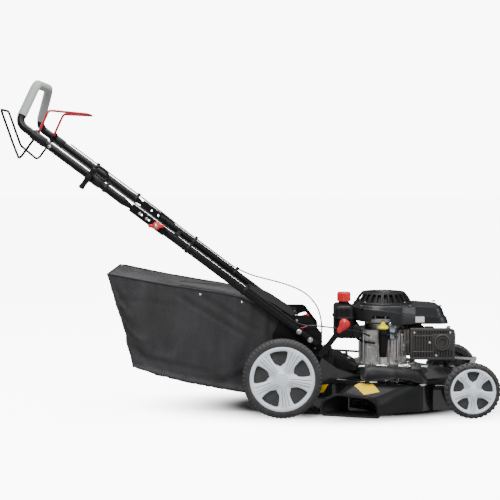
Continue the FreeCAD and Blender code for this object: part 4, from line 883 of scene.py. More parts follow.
def bag_cloth():
    points, faces, seams = bag_grid()
    mesh = outward(mesh_of(points, faces))
    mesh.materials.append(MATERIALS["cloth"])
    piece = bpy.data.objects.new("grass_bag", mesh)
    bpy.context.scene.collection.objects.link(piece)
    pinned = seams_of(piece, points, seams)
    settle_cloth(piece, pinned, 0.035, 24, 0.012)
    crease_side(piece)
    solid = piece.modifiers.new("wall", "SOLIDIFY")
    solid.thickness, solid.offset = 0.0012, -1
    apply_modifiers(piece)
    for face in piece.data.polygons:
        face.use_smooth = True
    piece.data.set_sharp_from_angle(angle=math.radians(48))
    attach(piece, "bag")
    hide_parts("bag_fabric")
    return piece


def seams_of(piece, points, seams):
    """Indexes of the seam points after the mesh was cleaned."""
    wanted = {tuple(round(c, 5) for c in points[i]) for i in seams}
    return [v.index for v in piece.data.vertices if tuple(round(c, 5) for c in v.co) in wanted]


def apply_modifiers(piece):
    """Replace a piece's mesh with what its modifiers make of it."""
    shaped = bpy.data.meshes.new_from_object(piece.evaluated_get(bpy.context.evaluated_depsgraph_get()))
    piece.modifiers.clear()
    old = piece.data
    piece.data = shaped
    bpy.data.meshes.remove(old)


def bag_trim():
    """Bound seams, carrying strap and rivets."""
    seams = []
    for side in (-1, 1):
        for level in (0.0, 1.0):
            line = []
            for i in range(41):
                x, z = bag_side_point(i / 40, level)
                line.append(at(x, side * (bag_half(x) + 1.0), z + (1.2 if level else -1.2)))
            seams.append(swept(line, 0.0026, 10, scale=lambda t: rounded_end(t, 0.01), flat=0.8))
        rear = []
        for j in range(25):
            x, z = bag_side_point(1.0, j / 24)
            rear.append(at(x - 1.2, side * (bag_half(x) + 0.8), z))
        seams.append(swept(rear, 0.0028, 10, flat=0.8))
    for level in (0.0, 1.0):
        x, z = bag_side_point(1.0, level)
        rear = [at(x - 1, y, z + (1 if level else -1)) for y in np.linspace(-bag_half(x), bag_half(x), 20)]
        seams.append(swept(rear, 0.0026, 10, flat=0.8))
    finished("bag_binding", seams, "binding", "bag")
    strap_line = smooth_line([at(-120, 0, 377), at(-138, 0, 391), at(-180, 0, 404), at(-240, 0, 411),
                              at(-290, 0, 414), at(-318, 0, 416), at(-336, 0, 417)], 6)
    rings = []
    for p in strap_line:
        rings.append([p + Vector((0, y * MM, z * MM)) for y, z in
                      ((-16, 0), (-15, 1.6), (-8, 2.1), (8, 2.1), (15, 1.6), (16, 0), (15, -1), (-15, -1))])
    finished("bag_strap", loft(rings), "binding", "bag")
    rivets = []
    for x, z in ((-262, 398), (-128, 372)):
        for side in (-1, 1):
            centre = at(x, side * (bag_half(x) + 0.6), z - 8)
            rivets.append(turned([(0.2, -1), (3.6, -1), (3.6, 0.8), (2.6, 1.7), (0.2, 2.1)], centre,
                                 Y_AXIS * side, 20))
    finished("bag_rivets", rivets, "zinc", "bag")


def make_bag():
    bag_cloth()
    bag_trim()


# ---- handle -------------------------------------------------------------------------------------
def arced(points, radius, steps=10):
    """Line with its corners rounded to this radius in metres."""
    line = [points[0]]
    for before, here, after in zip(points, points[1:], points[2:]):
        arrive, leave = (here - before).normalized(), (after - here).normalized()
        turn = arrive.angle(leave)
        back = radius * math.tan(turn / 2)
        start = here - arrive * back
        inward = (leave - arrive).normalized()
        centre = here + inward * (radius / math.cos(turn / 2))
        axis = arrive.cross(leave).normalized()
        for k in range(steps + 1):
            line.append(centre + Matrix.Rotation(turn * k / steps, 3, axis) @ (start - centre))
    line.append(points[-1])
    return line


def foam_grip():
    """Foam sleeve: one seamless tube, a little pinched at its ends and uneven along its length."""
    corner = on_handle(-834, -UPPER_Y)
    top = at(-787, -130, 1062)
    begin = corner + (top - corner).normalized() * 28 * MM
    far_top, far_begin = (Vector((p.x, 2 * MIDDLE_Y - p.y, p.z)) for p in (top, begin))
    line = arced([begin, top, far_top, far_begin], 0.046, 14)
    fine = []
    for a, b in zip(line, line[1:]):
        parts = max(1, int((b - a).length / 0.004))
        fine += [a + (b - a) * (k / parts) for k in range(parts)]
    fine.append(line[-1])

    def swell(share):
        ends = min(share, 1 - share) * (len(fine) - 1)
        lip = 0.955 if ends < 1 else (0.99 if ends < 2 else 1.0)
        return lip * (1 + 0.010 * noise.noise(Vector((share * 26, 0, 3))))

    mesh = swept(fine, 0.0147, 28, scale=swell)
    piece = finished("foam_sleeve", mesh, "foam", "upper_handle", replaces=("foam_grip",), sharp=60)


def wing_knobs():
    """Winged hand nuts on the fold bolts, with a pale domed washer in the middle."""
    for side, name in ((-1, "right"), (1, "left")):
        centre = on_handle(FOLD_X, 0)
        face = LOWER_Y + TUBE_R + 0.4 + 11.2
        centre.y = MIDDLE_Y + side * face * MM
        out = Y_AXIS * side
        parts = [turned([(0.3, 0.3), (13, 0.3), (13.5, 2), (13, 9), (11.5, 13.5), (8, 16), (0.3, 16.3)],
                        centre, out, 40)]
        for way in (-1, 1):
            outline = [(8, -5.2), (16, -5.6), (23, -5.0), (26, -2), (26, 2), (23, 5.0), (16, 5.6), (8, 5.2)]
            wing = [centre + Vector((way * u * MM, 0, w * MM)) for u, w in outline]
            parts.append(slab(wing, out, 0.004, 0.0125, 0.0022, 3))
        finished("wing_knob_" + name, parts, "red", "fold_knob_" + name, replaces=("fold_knob_" + name,))
        cap = turned([(0.2, 15.8), (5.4, 15.8), (5.2, 17.4), (3.4, 18.6), (0.2, 18.9)], centre, out, 28)
        finished("knob_cap_" + name, cap, "zinc", "fold_knob_" + name)


def screw_head(centre, out, radius):
    """Domed head with its washer."""
    r = radius / MM
    profile = [(0.2, 0.2), (r * 1.35, 0.2), (r * 1.35, 1.0), (r * 1.02, 1.1), (r, 2.0), (r * 0.72, 3.0),
               (r * 0.3, 3.4), (0.2, 3.4)]
    return turned(profile, centre, out, 28)


def hex_mesh(centre, out, across, height):
    """Hexagon head with chamfered corners on a flange."""
    out = Vector(out).normalized()
    side = out.orthogonal().normalized()
    other = out.cross(side)
    outline = []
    for k in range(6):
        angle = math.pi * k / 3
        outline.append(centre + (side * math.cos(angle) + other * math.sin(angle)) * across / math.sqrt(3))
    head = slab(outline, out, 0.0010, height, 0.0006, 2)
    flange = revolved([(0.0002, 0.0001), (across * 0.72, 0.0001), (across * 0.72, 0.0010),
                       (0.0002, 0.0012)],
                      centre, out, 24)
    return merged([head, flange])


CLIP_PLACES = [("upper_handle", -1, -560), ("upper_handle", 1, -640), ("upper_handle", 1, -500),
               ("lower_handle", 1, -158), ("lower_handle", -1, -120), ("lower_handle", -1, -300),
               ("lower_handle", 1, -300)]


def handle_hardware():
    """Bolt heads, screws, clips and caps along the handle."""
    lower, upper = [], []
    for side in (-1, 1):
        out = Y_AXIS * side
        for x in FOOT_BOLTS:
            lower.append(screw_head(on_handle(x, side * (LOWER_Y + TUBE_R + 0.4)), out, 0.0062))
        upper.append(screw_head(on_handle(-735, side * (UPPER_Y + TUBE_R + 0.2)), out, 0.0046))
        for x in (-430, -452):
            upper.append(screw_head(on_handle(x, side * (UPPER_Y + 5.7)), out, 0.0036))
    finished("lower_bolt_heads", lower, "zinc", "lower_handle")
    finished("upper_screw_heads", upper, "zinc", "upper_handle")
    clips = {"upper_handle": [], "lower_handle": []}
    for body, side, x in CLIP_PLACES:
        tube_y = UPPER_Y if body == "upper_handle" else LOWER_Y
        line = []
        for k in range(33):
            angle = 2 * math.pi * k / 32
            bulge = 1.0 + 0.34 * max(0.0, math.cos(angle)) ** 6
            reach = (TUBE_R + 1.2) * bulge
            line.append(on_handle(x, side * tube_y) + (OFF_HANDLE * math.cos(angle) + Y_AXIS
                                                       * math.sin(angle)) * reach * MM)
        rings = []
        for p in line[:-1]:
            radial = (p - on_handle(x, side * tube_y)).normalized()
            rings.append([p + UP_HANDLE * a * MM + radial * b * MM for a, b in
                          ((-5, -0.8), (-5, 0.8), (-4, 1.4), (4, 1.4), (5, 0.8), (5, -0.8))])
        clips[body].append(loft(rings, looped=True))
        head = on_handle(x, side * tube_y, TUBE_R + 8.4)
        clips[body].append(box_mesh(head - Vector((6, 3.4, 2.4)) * MM, head + Vector((6, 3.4, 2.4)) * MM,
                                    0.001, turn=Matrix.Rotation(HANDLE_SLOPE, 3, "Y").to_4x4()))
    for body, parts in clips.items():
        finished("cable_clips_" + body, parts, "plastic", body)
    caps = []
    for side in (-1, 1):
        spot = on_handle(110, side * LOWER_Y)
        caps.append(turned([(0.2, -0.5), (TUBE_R, -0.5), (TUBE_R, 1.5), (TUBE_R - 2, 3.5), (0.2, 4)], spot,
                           UP_HANDLE * -1, 36))
    finished("tube_caps", caps, "plastic", "lower_handle")


BRAKE_ARC = [(-104, 188, 423), (-52, 187, 410), (0, 184, 397), (46, 180, 382), (84, 176, 364),
             (112, 170, 339), (133, 164, 308), (143, 158, 268), (145, 153, 224), (140, 150, 181)]
DRIVE_RUN = [(66, -187, 289), (108, -187, 290), (150, -186, 285), (184, -172, 278), (214, -146, 271),
             (246, -120, 263), (272, -103, 254), (289, -88, 244)]
CABLE_R = 0.0025


def cables():
    """Brake and drive cables: a run along the handle that bends at the fold, and a free end to the engine."""
    for side, name, leave_x in ((1, "brake", -163.5), (-1, "drive", 31.5)):
        route = [on_handle(-735, side * UPPER_Y, 17), on_handle(-700, side * UPPER_Y, 17),
                 on_handle(-600, side * UPPER_Y, 17), on_handle(-500, side * UPPER_Y, 17),
                 on_handle(-430, side * (UPPER_Y - 1), 17), on_handle(-399, side * (UPPER_Y - 8), 16.5),
                 on_handle(-368, side * (LOWER_Y + 2), 15.8), on_handle(-340, side * LOWER_Y, 15.6)]
        last = leave_x - 2
        x = -290
        while x < last - 40:
            route.append(on_handle(x, side * LOWER_Y, 15.6))
            x += 60
        route.append(on_handle(last, side * LOWER_Y, 15.6))
        line = nurbs_line(route, 10)
        mesh = swept(line, CABLE_R, 12)
        piece = finished(name + "_cable", mesh, "sleeve", None, replaces=("upper_cables", "lower_cables")
                         if side > 0 else ())
        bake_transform(piece)
        free = BRAKE_ARC if side > 0 else DRIVE_RUN
        route = [on_handle(leave_x, side * LOWER_Y, 15.6)] + [at(*p) for p in free]
        line = nurbs_line(route, 12)
        mesh = swept(line, CABLE_R, 12)
        piece = finished(name + "_cable_end", mesh, "sleeve", None, replaces=("engine_cables",) if side > 0
                         else ())
        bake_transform(piece)


def starter_handle():
    """T-shaped pull with a waisted bar and moulded finger hollows."""
    centre = on_handle(GUIDE_X - 16, 0)
    centre.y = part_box("starter_grip")[0].y + 0.008
    bar = []
    for k in range(41):
        share = k / 40
        bar.append(centre + OFF_HANDLE * (share - 0.58) * 0.080)

    def waist(share):
        return rounded_end(share, 0.08) * (0.9 + 0.1 * math.cos(4 * math.pi * (share - 0.5)))

    parts = [swept(bar, 0.0104, 24, scale=waist, flat=0.8),
             turned([(0.2, -1), (7.2, -1), (6.0, 6), (5.0, 14), (0.2, 14)], centre, Y_AXIS, 24)]
    finished("starter_handle", parts, "plastic", "starter_grip", replaces=("starter_grip",))


def collar(centre, half_length):
    """Slim moulded sleeve round an upper tube, rounded at both ends."""
    inner, outer = TUBE_R + 0.2, TUBE_R + 2.6
    profile = [(inner, -half_length), (outer - 0.8, -half_length), (outer, -half_length + 2),
               (outer, half_length - 2), (outer - 0.8, half_length), (inner, half_length)]
    return turned(profile, centre, UP_HANDLE, 56, closed=True)


def bail_saddles():
    """Sleeves on the upper tubes, each with two bosses that carry the bails' ends."""
    parts = []
    for side in (-1, 1):
        parts.append(collar(on_handle(-770, side * UPPER_Y), 26))
        for x, z in BAIL_PIVOTS:
            boss = [(4.2, 0), (8.4, 0), (9, 1), (9, 9), (8.4, 10), (4.2, 10)]
            parts.append(turned(boss, at(x, side * (UPPER_Y - 20), z), Y_AXIS * side, 32, closed=True))
    finished("bail_saddles", parts, "plastic", "upper_handle", replaces=("bail_brackets",))


def rope_loop():
    """Round-sectioned guide loop for the starter rope, on a sleeve."""
    centre = on_handle(GUIDE_X, -UPPER_Y)
    corners = [(-22, 10), (-29, 29), (-15, 44), (15, 44), (29, 29), (22, 10)]
    line = arced([centre + (UP_HANDLE * along_tube + OFF_HANDLE * lift) * MM
                  for along_tube, lift in corners], 0.009, 8)
    parts = [collar(centre, 22), swept(line, 0.0044, 18)]
    finished("rope_loop", parts, "plastic", "upper_handle", replaces=("rope_guide",))


def foot_quick_releases():
    """Red cam levers inside the brackets with their zinc cross bolts."""
    for side, name in ((-1, "right"), (1, "left")):
        pivot = on_handle(FOOT_BOLTS[1], 0)
        face = MIDDLE_Y + side * (BRACKET_Y - 0.4) * MM
        inward = Y_AXIS * -side
        pivot.y = face
        parts = [turned([(0.2, 0.2), (8.6, 0.2), (9.2, 1.5), (9.2, 9), (8, 10.8), (0.2, 11)], pivot, inward,
                        36)]
        outline = [(0, -6.5), (12, -7.2), (24, -6.2), (34, -6.6), (44, -5.4), (49, -1), (48.5, 4.5),
                   (42, 7.2), (30, 7.6), (18, 6.4), (8, 8), (0, 7)]
        tilt = math.radians(14)
        lever = []
        for u, w in outline:
            lever.append(pivot + Vector((u * math.cos(tilt) - w * math.sin(tilt), 0,
                                         u * math.sin(tilt) + w * math.cos(tilt))) * MM)
        parts.append(slab(lever, inward, 0.0012, 0.0092, 0.0018, 3))
        finished("quick_release_" + name, parts, "red", "foot_lever_" + name,
                 replaces=("foot_lever_" + name,))
        outside = pivot.copy()
        outside.y = MIDDLE_Y + side * (LOWER_Y + TUBE_R + 0.2) * MM
        length = (outside - pivot).length / MM
        bolt = turned([(0.2, -0.5), (3.9, -0.5), (3.9, length), (7.4, length), (7.5, length + 2),
                       (5, length + 4), (0.2, length + 4.4)], pivot, Y_AXIS * side, 28)
        finished("lock_bolt_" + name, bolt, "zinc", "foot_lever_" + name)


def make_handle():
    foam_grip()
    wing_knobs()
    handle_hardware()
    cables()
    starter_handle()
    bail_saddles()
    rope_loop()
    foot_quick_releases()


# ---- engine -------------------------------------------------------------------------------------
def rounded_outline(corners, radii, count):
    """Closed outline with rounded corners, as this many evenly spaced (x, y) points."""
    line = []
    total = len(corners)
    for i, (corner, radius) in enumerate(zip(corners, radii)):
        here = Vector((*corner, 0))
        before, after = Vector((*corners[i - 1], 0)), Vector((*corners[(i + 1) % total], 0))
        arrive, leave = (here - before).normalized(), (after - here).normalized()
        turn = arrive.angle(leave, 0)
        if radius <= 0 or turn < 1e-3:
            line.append(here)
            continue
        start = here - arrive * radius * math.tan(turn / 2)
        centre = here + (leave - arrive).normalized() * (radius / math.cos(turn / 2))
        spin = 1 if arrive.cross(leave).z > 0 else -1
        for k in range(13):
            line.append(centre + Matrix.Rotation(spin * turn * k / 12, 3, "Z") @ (start - centre))
    line.append(line[0])
    lengths = np.concatenate([[0], np.cumsum([(b - a).length for a, b in zip(line, line[1:])])])
    spots = np.linspace(0, lengths[-1], count, endpoint=False)
    return list(zip(np.interp(spots, lengths, [p.x for p in line]),
                    np.interp(spots, lengths, [p.y for p in line])))


def smooth_step(value, low, high):
    share = min(1.0, max(0.0, (value - low) / (high - low)))
    return share * share * (3 - 2 * share)


COWL_SCREWS = [(262, -98), (420, -96), (520, -80), (262, 98), (420, 96), (520, 80)]


def cowl_plan(inset):
    rear, front, side, nose = 238 + inset, 548 - inset, 118 - inset, 96 - inset
    corners = [(rear, -side), (392, -side), (440, -nose), (front, -nose), (front, nose), (440, nose),
               (392, side), (rear, side)]
    return rounded_outline(corners, [90 - inset, 30, 30, 34 - inset * 0.5, 34 - inset * 0.5, 30, 30,
                                     90 - inset], 240)


def engine_cowl():
    """Moulded blower cowl: arched over the oil filler, with a crease that falls towards the nose."""
    def crease(x):
        return 336 - 31 * smooth_step(x, 225, 560)

    def bottom(x, y):
        if y > -60:
            return 284
        rear_lift = 8 * (1 - smooth_step(x, 300, 330))
        arch = smooth_step(x, 288, 297) * (1 - smooth_step(x, 349, 359))
        return 284 + max(rear_lift, 28 * arch)

    levels = [(0.0, "bottom", 0), (0.0, "low", 0), (0.0, "crease", -2.0), (0.6, "crease", 0),
              (3.6, "crease", 1.6), (4.4, "crease", 3.0), (6.5, "top", -7.0), (8.2, "top", -3.4),
              (11.5, "top", -1.0), (16, "top", 0), (44, "top", 0.8)]
    rings = []
    for inset, kind, extra in levels:
        ring = []
        for x, y in cowl_plan(inset):
            if kind == "bottom":
                z = bottom(x, y)
            elif kind == "low":
                z = bottom(x, y) + 2
            elif kind == "crease":
                z = crease(x) + extra
            else:
                z = 345 + extra - 6 * smooth_step(x, 430, 560)
                z = max(z, crease(x) + 4 + inset * 0.1)
            lean = max(0.0, (x - 430) / 118) * (z - 291) * 0.30
            ring.append(at(x - lean, y, z))
        rings.append(ring)
    mesh = loft(rings, caps=False)
    shape = bmesh.new()
    shape.from_mesh(mesh)
    highest = [e for e in shape.edges if e.is_boundary and min(v.co.z for v in e.verts) > 0.335]
    bmesh.ops.contextual_create(shape, geom=highest)
    shape.to_mesh(mesh)
    shape.free()
    piece = finished("blower_cowl", mesh, "cowl", replaces=("engine_cowl",), sharp=28)
    thicken(piece, 0.0024)
    parts = []
    for x, y in COWL_SCREWS:
        parts.append(turned([(0.2, 0), (7.0, 0), (6.4, 2.6), (4.2, 2.8), (4.0, 1.2), (0.2, 1.2)],
                            at(x, y, 341.0), Z_AXIS, 28))
    finished("cowl_bosses", parts, "cowl")
    parts = [hex_mesh(at(x, y, 341.8), Z_AXIS, 0.007, 0.004)
             for x, y in COWL_SCREWS]
    finished("cowl_screws", parts, "zinc")
    label_y = -97.4
    label = slab([at(x, label_y, z) for x, z in ((438, 290), (467, 290), (467, 309), (438, 309))], Y_AXIS,
                 -0.0002, 0.0006, 0.0002, 1)
    return label


def thicken(piece, thickness):
    solid = piece.modifiers.new("wall", "SOLIDIFY")
    solid.thickness, solid.offset = thickness, -1
    apply_modifiers(piece)


def recoil_cover():
    """Starter housing: slanted posts between a base ring and a crown, with a vented dish inside."""
    low = 344.2
    centre = at(BLADE_X, 0, 0)
    base = turned([(98, low), (98, low + 3), (96.5, low + 5), (90, low + 8.5), (86, low + 8.5),
                   (86, low + 6), (92, low + 2), (92, low)], centre, Z_AXIS, 128, closed=True)
    crown = turned([(74, low + 33), (73, low + 36.5), (70, low + 38.6), (56, low + 38.6), (52, low + 37),
                    (47, low + 30.5), (43, low + 29.6), (43, low + 27.5), (48, low + 28),
                    (55, low + 34.8), (69, low + 34.8), (71, low + 32)], centre, Z_AXIS, 128, closed=True)
    inner = turned([(80, low + 4), (66, low + 30), (60, low + 34), (58, low + 34), (64, low + 28),
                    (76, low + 3)], centre, Z_AXIS, 96, closed=True)
    parts = [base, crown, inner]
    posts = 26
    for k in range(posts):
        angle = 2 * math.pi * k / posts
        ahead = Vector((math.cos(angle), math.sin(angle), 0))
        across = Z_AXIS.cross(ahead)
        wide = 5.4 if k % 2 else 3.2
        line = []
        for radius, height, half in ((93, low + 6, wide), (88, low + 16, wide * 0.9),
                                     (80, low + 28, wide * 0.8), (72, low + 36, wide * 0.75)):
            line.append((centre + ahead * radius * MM + Z_AXIS * height * MM, half))
        rings = []
        normal = (ahead * 0.85 + Z_AXIS * 0.52).normalized()
        for p, half in line:
            rings.append([p + across * half * MM, p + across * half * MM - normal * 4 * MM,
                          p - across * half * MM - normal * 4 * MM, p - across * half * MM])
        parts.append(loft(rings))
    spokes = 12
    for k in range(spokes):
        angle = 2 * math.pi * (k + 0.5) / spokes
        ahead = Vector((math.cos(angle), math.sin(angle), 0))
        across = Z_AXIS.cross(ahead)
        outline = [centre + ahead * r * MM + across * w * MM + Z_AXIS * (low + 26) * MM
                   for r, w in ((10, -2), (46, -3.4), (46, 3.4), (10, 2))]
        parts.append(slab(outline, Z_AXIS, 0, 0.0028, 0.0008, 2))
    parts.append(turned([(0.2, low + 24), (17, low + 24), (17, low + 29), (14, low + 31),
                         (0.2, low + 31.5)],
                        centre, Z_AXIS, 48))
    finished("starter_housing", parts, "plastic", replaces=("recoil_cover",))
    pulley = turned([(0.2, low + 6), (62, low + 6), (62, low + 9), (57, low + 12), (57, low + 15),
                     (62, low + 18), (62, low + 20), (40, low + 20), (34, low + 17), (0.2, low + 17)],
                    centre, Z_AXIS, 96)
    finished("starter_pulley", pulley, "zinc")
    screws = []
    for k in range(4):
        angle = math.radians(45 + 90 * k)
        screws.append(hex_mesh(centre + Vector((math.cos(angle) * 0.0915, math.sin(angle) * 0.0915,
                                                (low + 7) * MM)),
                               Z_AXIS, 0.007, 0.0035))
    finished("starter_screws", screws, "zinc")


FUEL_NECK = (206, -60)
OIL_FILLER = (331, -110)


def fuel_tank():
    """Two-shell tank with a weld rib, upright moulded bands and a neck."""
    def ring(inset, z, x0, x1, y0, y1, radius, ripple=0.0):
        corners = [(x0 + inset, y0 + inset), (x1 - inset, y0 + inset), (x1 - inset, y1 - inset),
                   (x0 + inset, y1 - inset)]
        points = rounded_outline(corners, [max(3, radius - inset)] * 4, 168)
        out = []
        for x, y in points:
            band = 0.0
            if ripple and (y < y0 + 3 or y > y1 - 3):
                band = ripple * (smooth_step(abs((x - x0) % 19.5 - 9.75), 6.4, 8.0))
            out.append(at(x, y + (band if y < 0 else -band), z))
        return out

    body = (176, 236, -104, 44)
    rings = [ring(12, 236.5, *body, 14), ring(3, 238, *body, 14), ring(0, 243, *body, 14),
             ring(0, 250, *body, 14, 1.6), ring(0, 298, *body, 14, 1.6), ring(-1.6, 300, *body, 15.5),
             ring(-3.8, 301, *body, 17), ring(-3.8, 304, *body, 17), ring(-1.6, 305, *body, 15.5),
             ring(0, 308, *body, 14, 1.4), ring(0, 330, *body, 14, 1.4), ring(1.2, 337, *body, 13),
             ring(4, 341.5, *body, 12), ring(9, 344, *body, 10), ring(24, 345, *body, 8)]
    tank = loft(rings)
    lower = (200, 260, -96, 36)
    step = loft([ring(6, 236.2, *lower, 10), ring(0, 240, *lower, 10), ring(0, 272, *lower, 10),
                 ring(2, 278, *lower, 9), ring(8, 281, *lower, 8)])
    neck = turned([(18.5, 342), (18.5, 348), (17, 349), (17, 356), (14, 356.2), (14, 342)],
                  at(*FUEL_NECK, 0), Z_AXIS, 64, closed=True)
    shoulder = turned([(29, 343.5), (26, 345.8), (21, 347.5), (18, 348), (18, 342)], at(*FUEL_NECK, 0),
                      Z_AXIS, 64, closed=True)
    finished("fuel_tank_shell", [tank, step, neck, shoulder], "plastic", replaces=("fuel_tank",), sharp=32)


def fluted_cap(name, centre, bottom, radius, height, flutes, finish, body, replaced):
    """Screw cap with a fluted skirt, a bevelled crown and a raised ring."""
    steps = flutes * 8
    rings = []
    for share, level, flute in ((0.86, 0.0, 0), (0.985, 0.02, 0), (1.0, 0.07, 0), (1.0, 0.10, 1),
                                (1.0, 0.80, 1), (0.975, 0.88, 0.6), (0.93, 0.95, 0), (0.86, 0.985, 0),
                                (0.74, 1.0, 0), (0.70, 0.97, 0), (0.66, 0.965, 0), (0.60, 1.0, 0),
                                (0.2, 1.0, 0), (0.02, 1.0, 0)):
        ring = []
        for k in range(steps):
            angle = 2 * math.pi * k / steps
            cut = 0.055 * flute * max(0.0, math.cos(angle * flutes)) ** 2
            r = radius * (share - cut)
            ring.append(centre + Vector((r * math.cos(angle), r * math.sin(angle),
                                         bottom + level * height)))
        rings.append(ring)
    return finished(name, loft(rings), finish, body, replaces=replaced)


def caps_and_filler():
    """Fuel cap, oil filler tube and the dipstick's cap with its finger grip."""
    fluted_cap("red_fuel_cap", at(*FUEL_NECK, 0), 0.3565, 0.0226, 0.0305, 22, "red", "fuel_cap",
               ("fuel_cap",))
    foot = at(*OIL_FILLER, 166)
    tube = turned([(6, 0), (8.9, 0), (8.9, 11), (11, 13), (12.2, 15), (12.6, 40), (13, 78), (14, 84),
                   (16.5, 87), (16.5, 91), (15, 92), (15, 102), (14, 103.6), (11, 103.8), (9, 84)], foot,
                  Z_AXIS, 48, closed=True)
    ribs = [slab([foot + Vector((x * side, 0, z)) * MM
                  for x, z in ((12, 16), (16, 84), (12, 84), (10, 16))], Y_AXIS,
                 -0.0012, 0.0012, 0.0004, 1) for side in (-1, 1)]
    finished("filler_tube", [tube] + ribs, "plastic", replaces=("oil_filler_tube",))
    centre = at(*OIL_FILLER, 270.4)
    skirt = turned([(0.2, 0), (16.4, 0), (17.8, 1.4), (17.8, 5.4), (16.6, 7.0), (12, 8.4), (0.2, 9.6)],
                   centre, Z_AXIS, 48)
    grip_outline = [(-15, 5.5), (-12.5, 9), (-8.5, 14), (-6.2, 20), (-3.2, 23.4), (0.5, 24), (4.2, 22.6),
                    (6, 18), (9.5, 13.5), (14, 9.5), (16, 5.5)]
    grip = slab([centre + Vector((x, 0, z)) * MM for x, z in grip_outline], Y_AXIS, -0.0042, 0.0042, 0.0020,
                4)
    gauge = slab([centre + Vector((x, 0, z)) * MM for x, z in ((-2, 1), (-2, -88), (2, -88), (2, 1))],
                 Y_AXIS, -0.0008, 0.0008)
    finished("dipstick_cap", [skirt, grip, gauge], "yellow", "dipstick", replaces=("dipstick",), sharp=45)


def engine_front():
    """What shows between the crankcase and the silencer: governor cup, cast ribs, bolts, bars and hoses."""
    cup = turned([(0.2, 291), (17, 291), (23, 288.5), (25.5, 283), (26, 262), (25, 257), (22, 250),
                  (17.5, 246), (17.5, 243), (21, 242), (21, 236), (0.2, 236)], at(362, -72, 0), Z_AXIS, 64)
    finished("governor_cup", cup, "cup")
    ribs = []
    for x in (352, 362, 372, 381):
        ribs.append(slab([at(x, -96 + 10 * (x == 352), z) for z in (166, 230)] + [at(x, -70, z)
                                                                                  for z in (236, 158)],
                         X_AXIS, -0.0019, 0.0019, 0.0006, 2))
    ribs.append(turned([(0.2, 152), (24, 152), (24, 156), (20, 164), (18.5, 232), (21, 236), (0.2, 236)],
                       at(366, -66, 0), Z_AXIS, 48))
    for x in (270, 284, 298, 313):
        ribs.append(slab([at(x, -80, z) for z in (158, 250)] + [at(x, -66, z) for z in (256, 152)], X_AXIS,
                         -0.0016, 0.0016, 0.0006, 2))
    ribs.append(slab([at(x, -78.6, z) for x, z in ((282, 203), (398, 203), (398, 209), (282, 209))], Y_AXIS,
                     -0.001, 0.006, 0.001, 2))
    finished("crankcase_ribs", ribs, "cast", sharp=35)
    bars = []
    for x, y, low, high in ((396, -84, 176, 246), (406, -78, 170, 250), (402, -90, 196, 214)):
        bars.append(turned([(0.2, low), (3.6, low), (3.6, high), (0.2, high)], at(x, y, 0), Z_AXIS, 20))
        bars.append(hex_mesh(at(x, y, high), Z_AXIS, 0.010, 0.006))
    for x, y in ((264, -66), (296, -96), (350, -101), (388, -88), (418, -54)):
        bars.append(hex_mesh(at(x, y, PLATFORM_TOP + 12.2), Z_AXIS, 0.011, 0.007))
    finished("engine_studs", bars, "zinc")
    lever = slab([at(x, -84, z) for x, z in ((402, 226), (452, 236), (470, 226), (470, 218), (450, 226),
                                             (402, 216))],
                 Y_AXIS, -0.0012, 0.0012, 0.0005, 1)
    finished("throttle_lever", lever, "zinc")
    hose = nurbs_line([at(236, -50, 246), at(246, -52, 234), at(262, -62, 226), at(284, -84, 222),
                       at(306, -96, 222)], 10)
    mesh = swept(hose, 0.0036, 16)
    finished("fuel_hose", mesh, "sleeve")
    gasket = slab([at(x, y, PLATFORM_TOP) for x, y in cut_circle(BLADE_X, 0, 111, 72)], Z_AXIS, 0.0002,
                  0.0024)
    finished("engine_gasket", gasket, "sleeve")


def cut_circle(x, y, radius, steps):
    return [(x + radius * math.cos(2 * math.pi * k / steps), y + radius * math.sin(2 * math.pi * k / steps))
            for k in range(steps)]


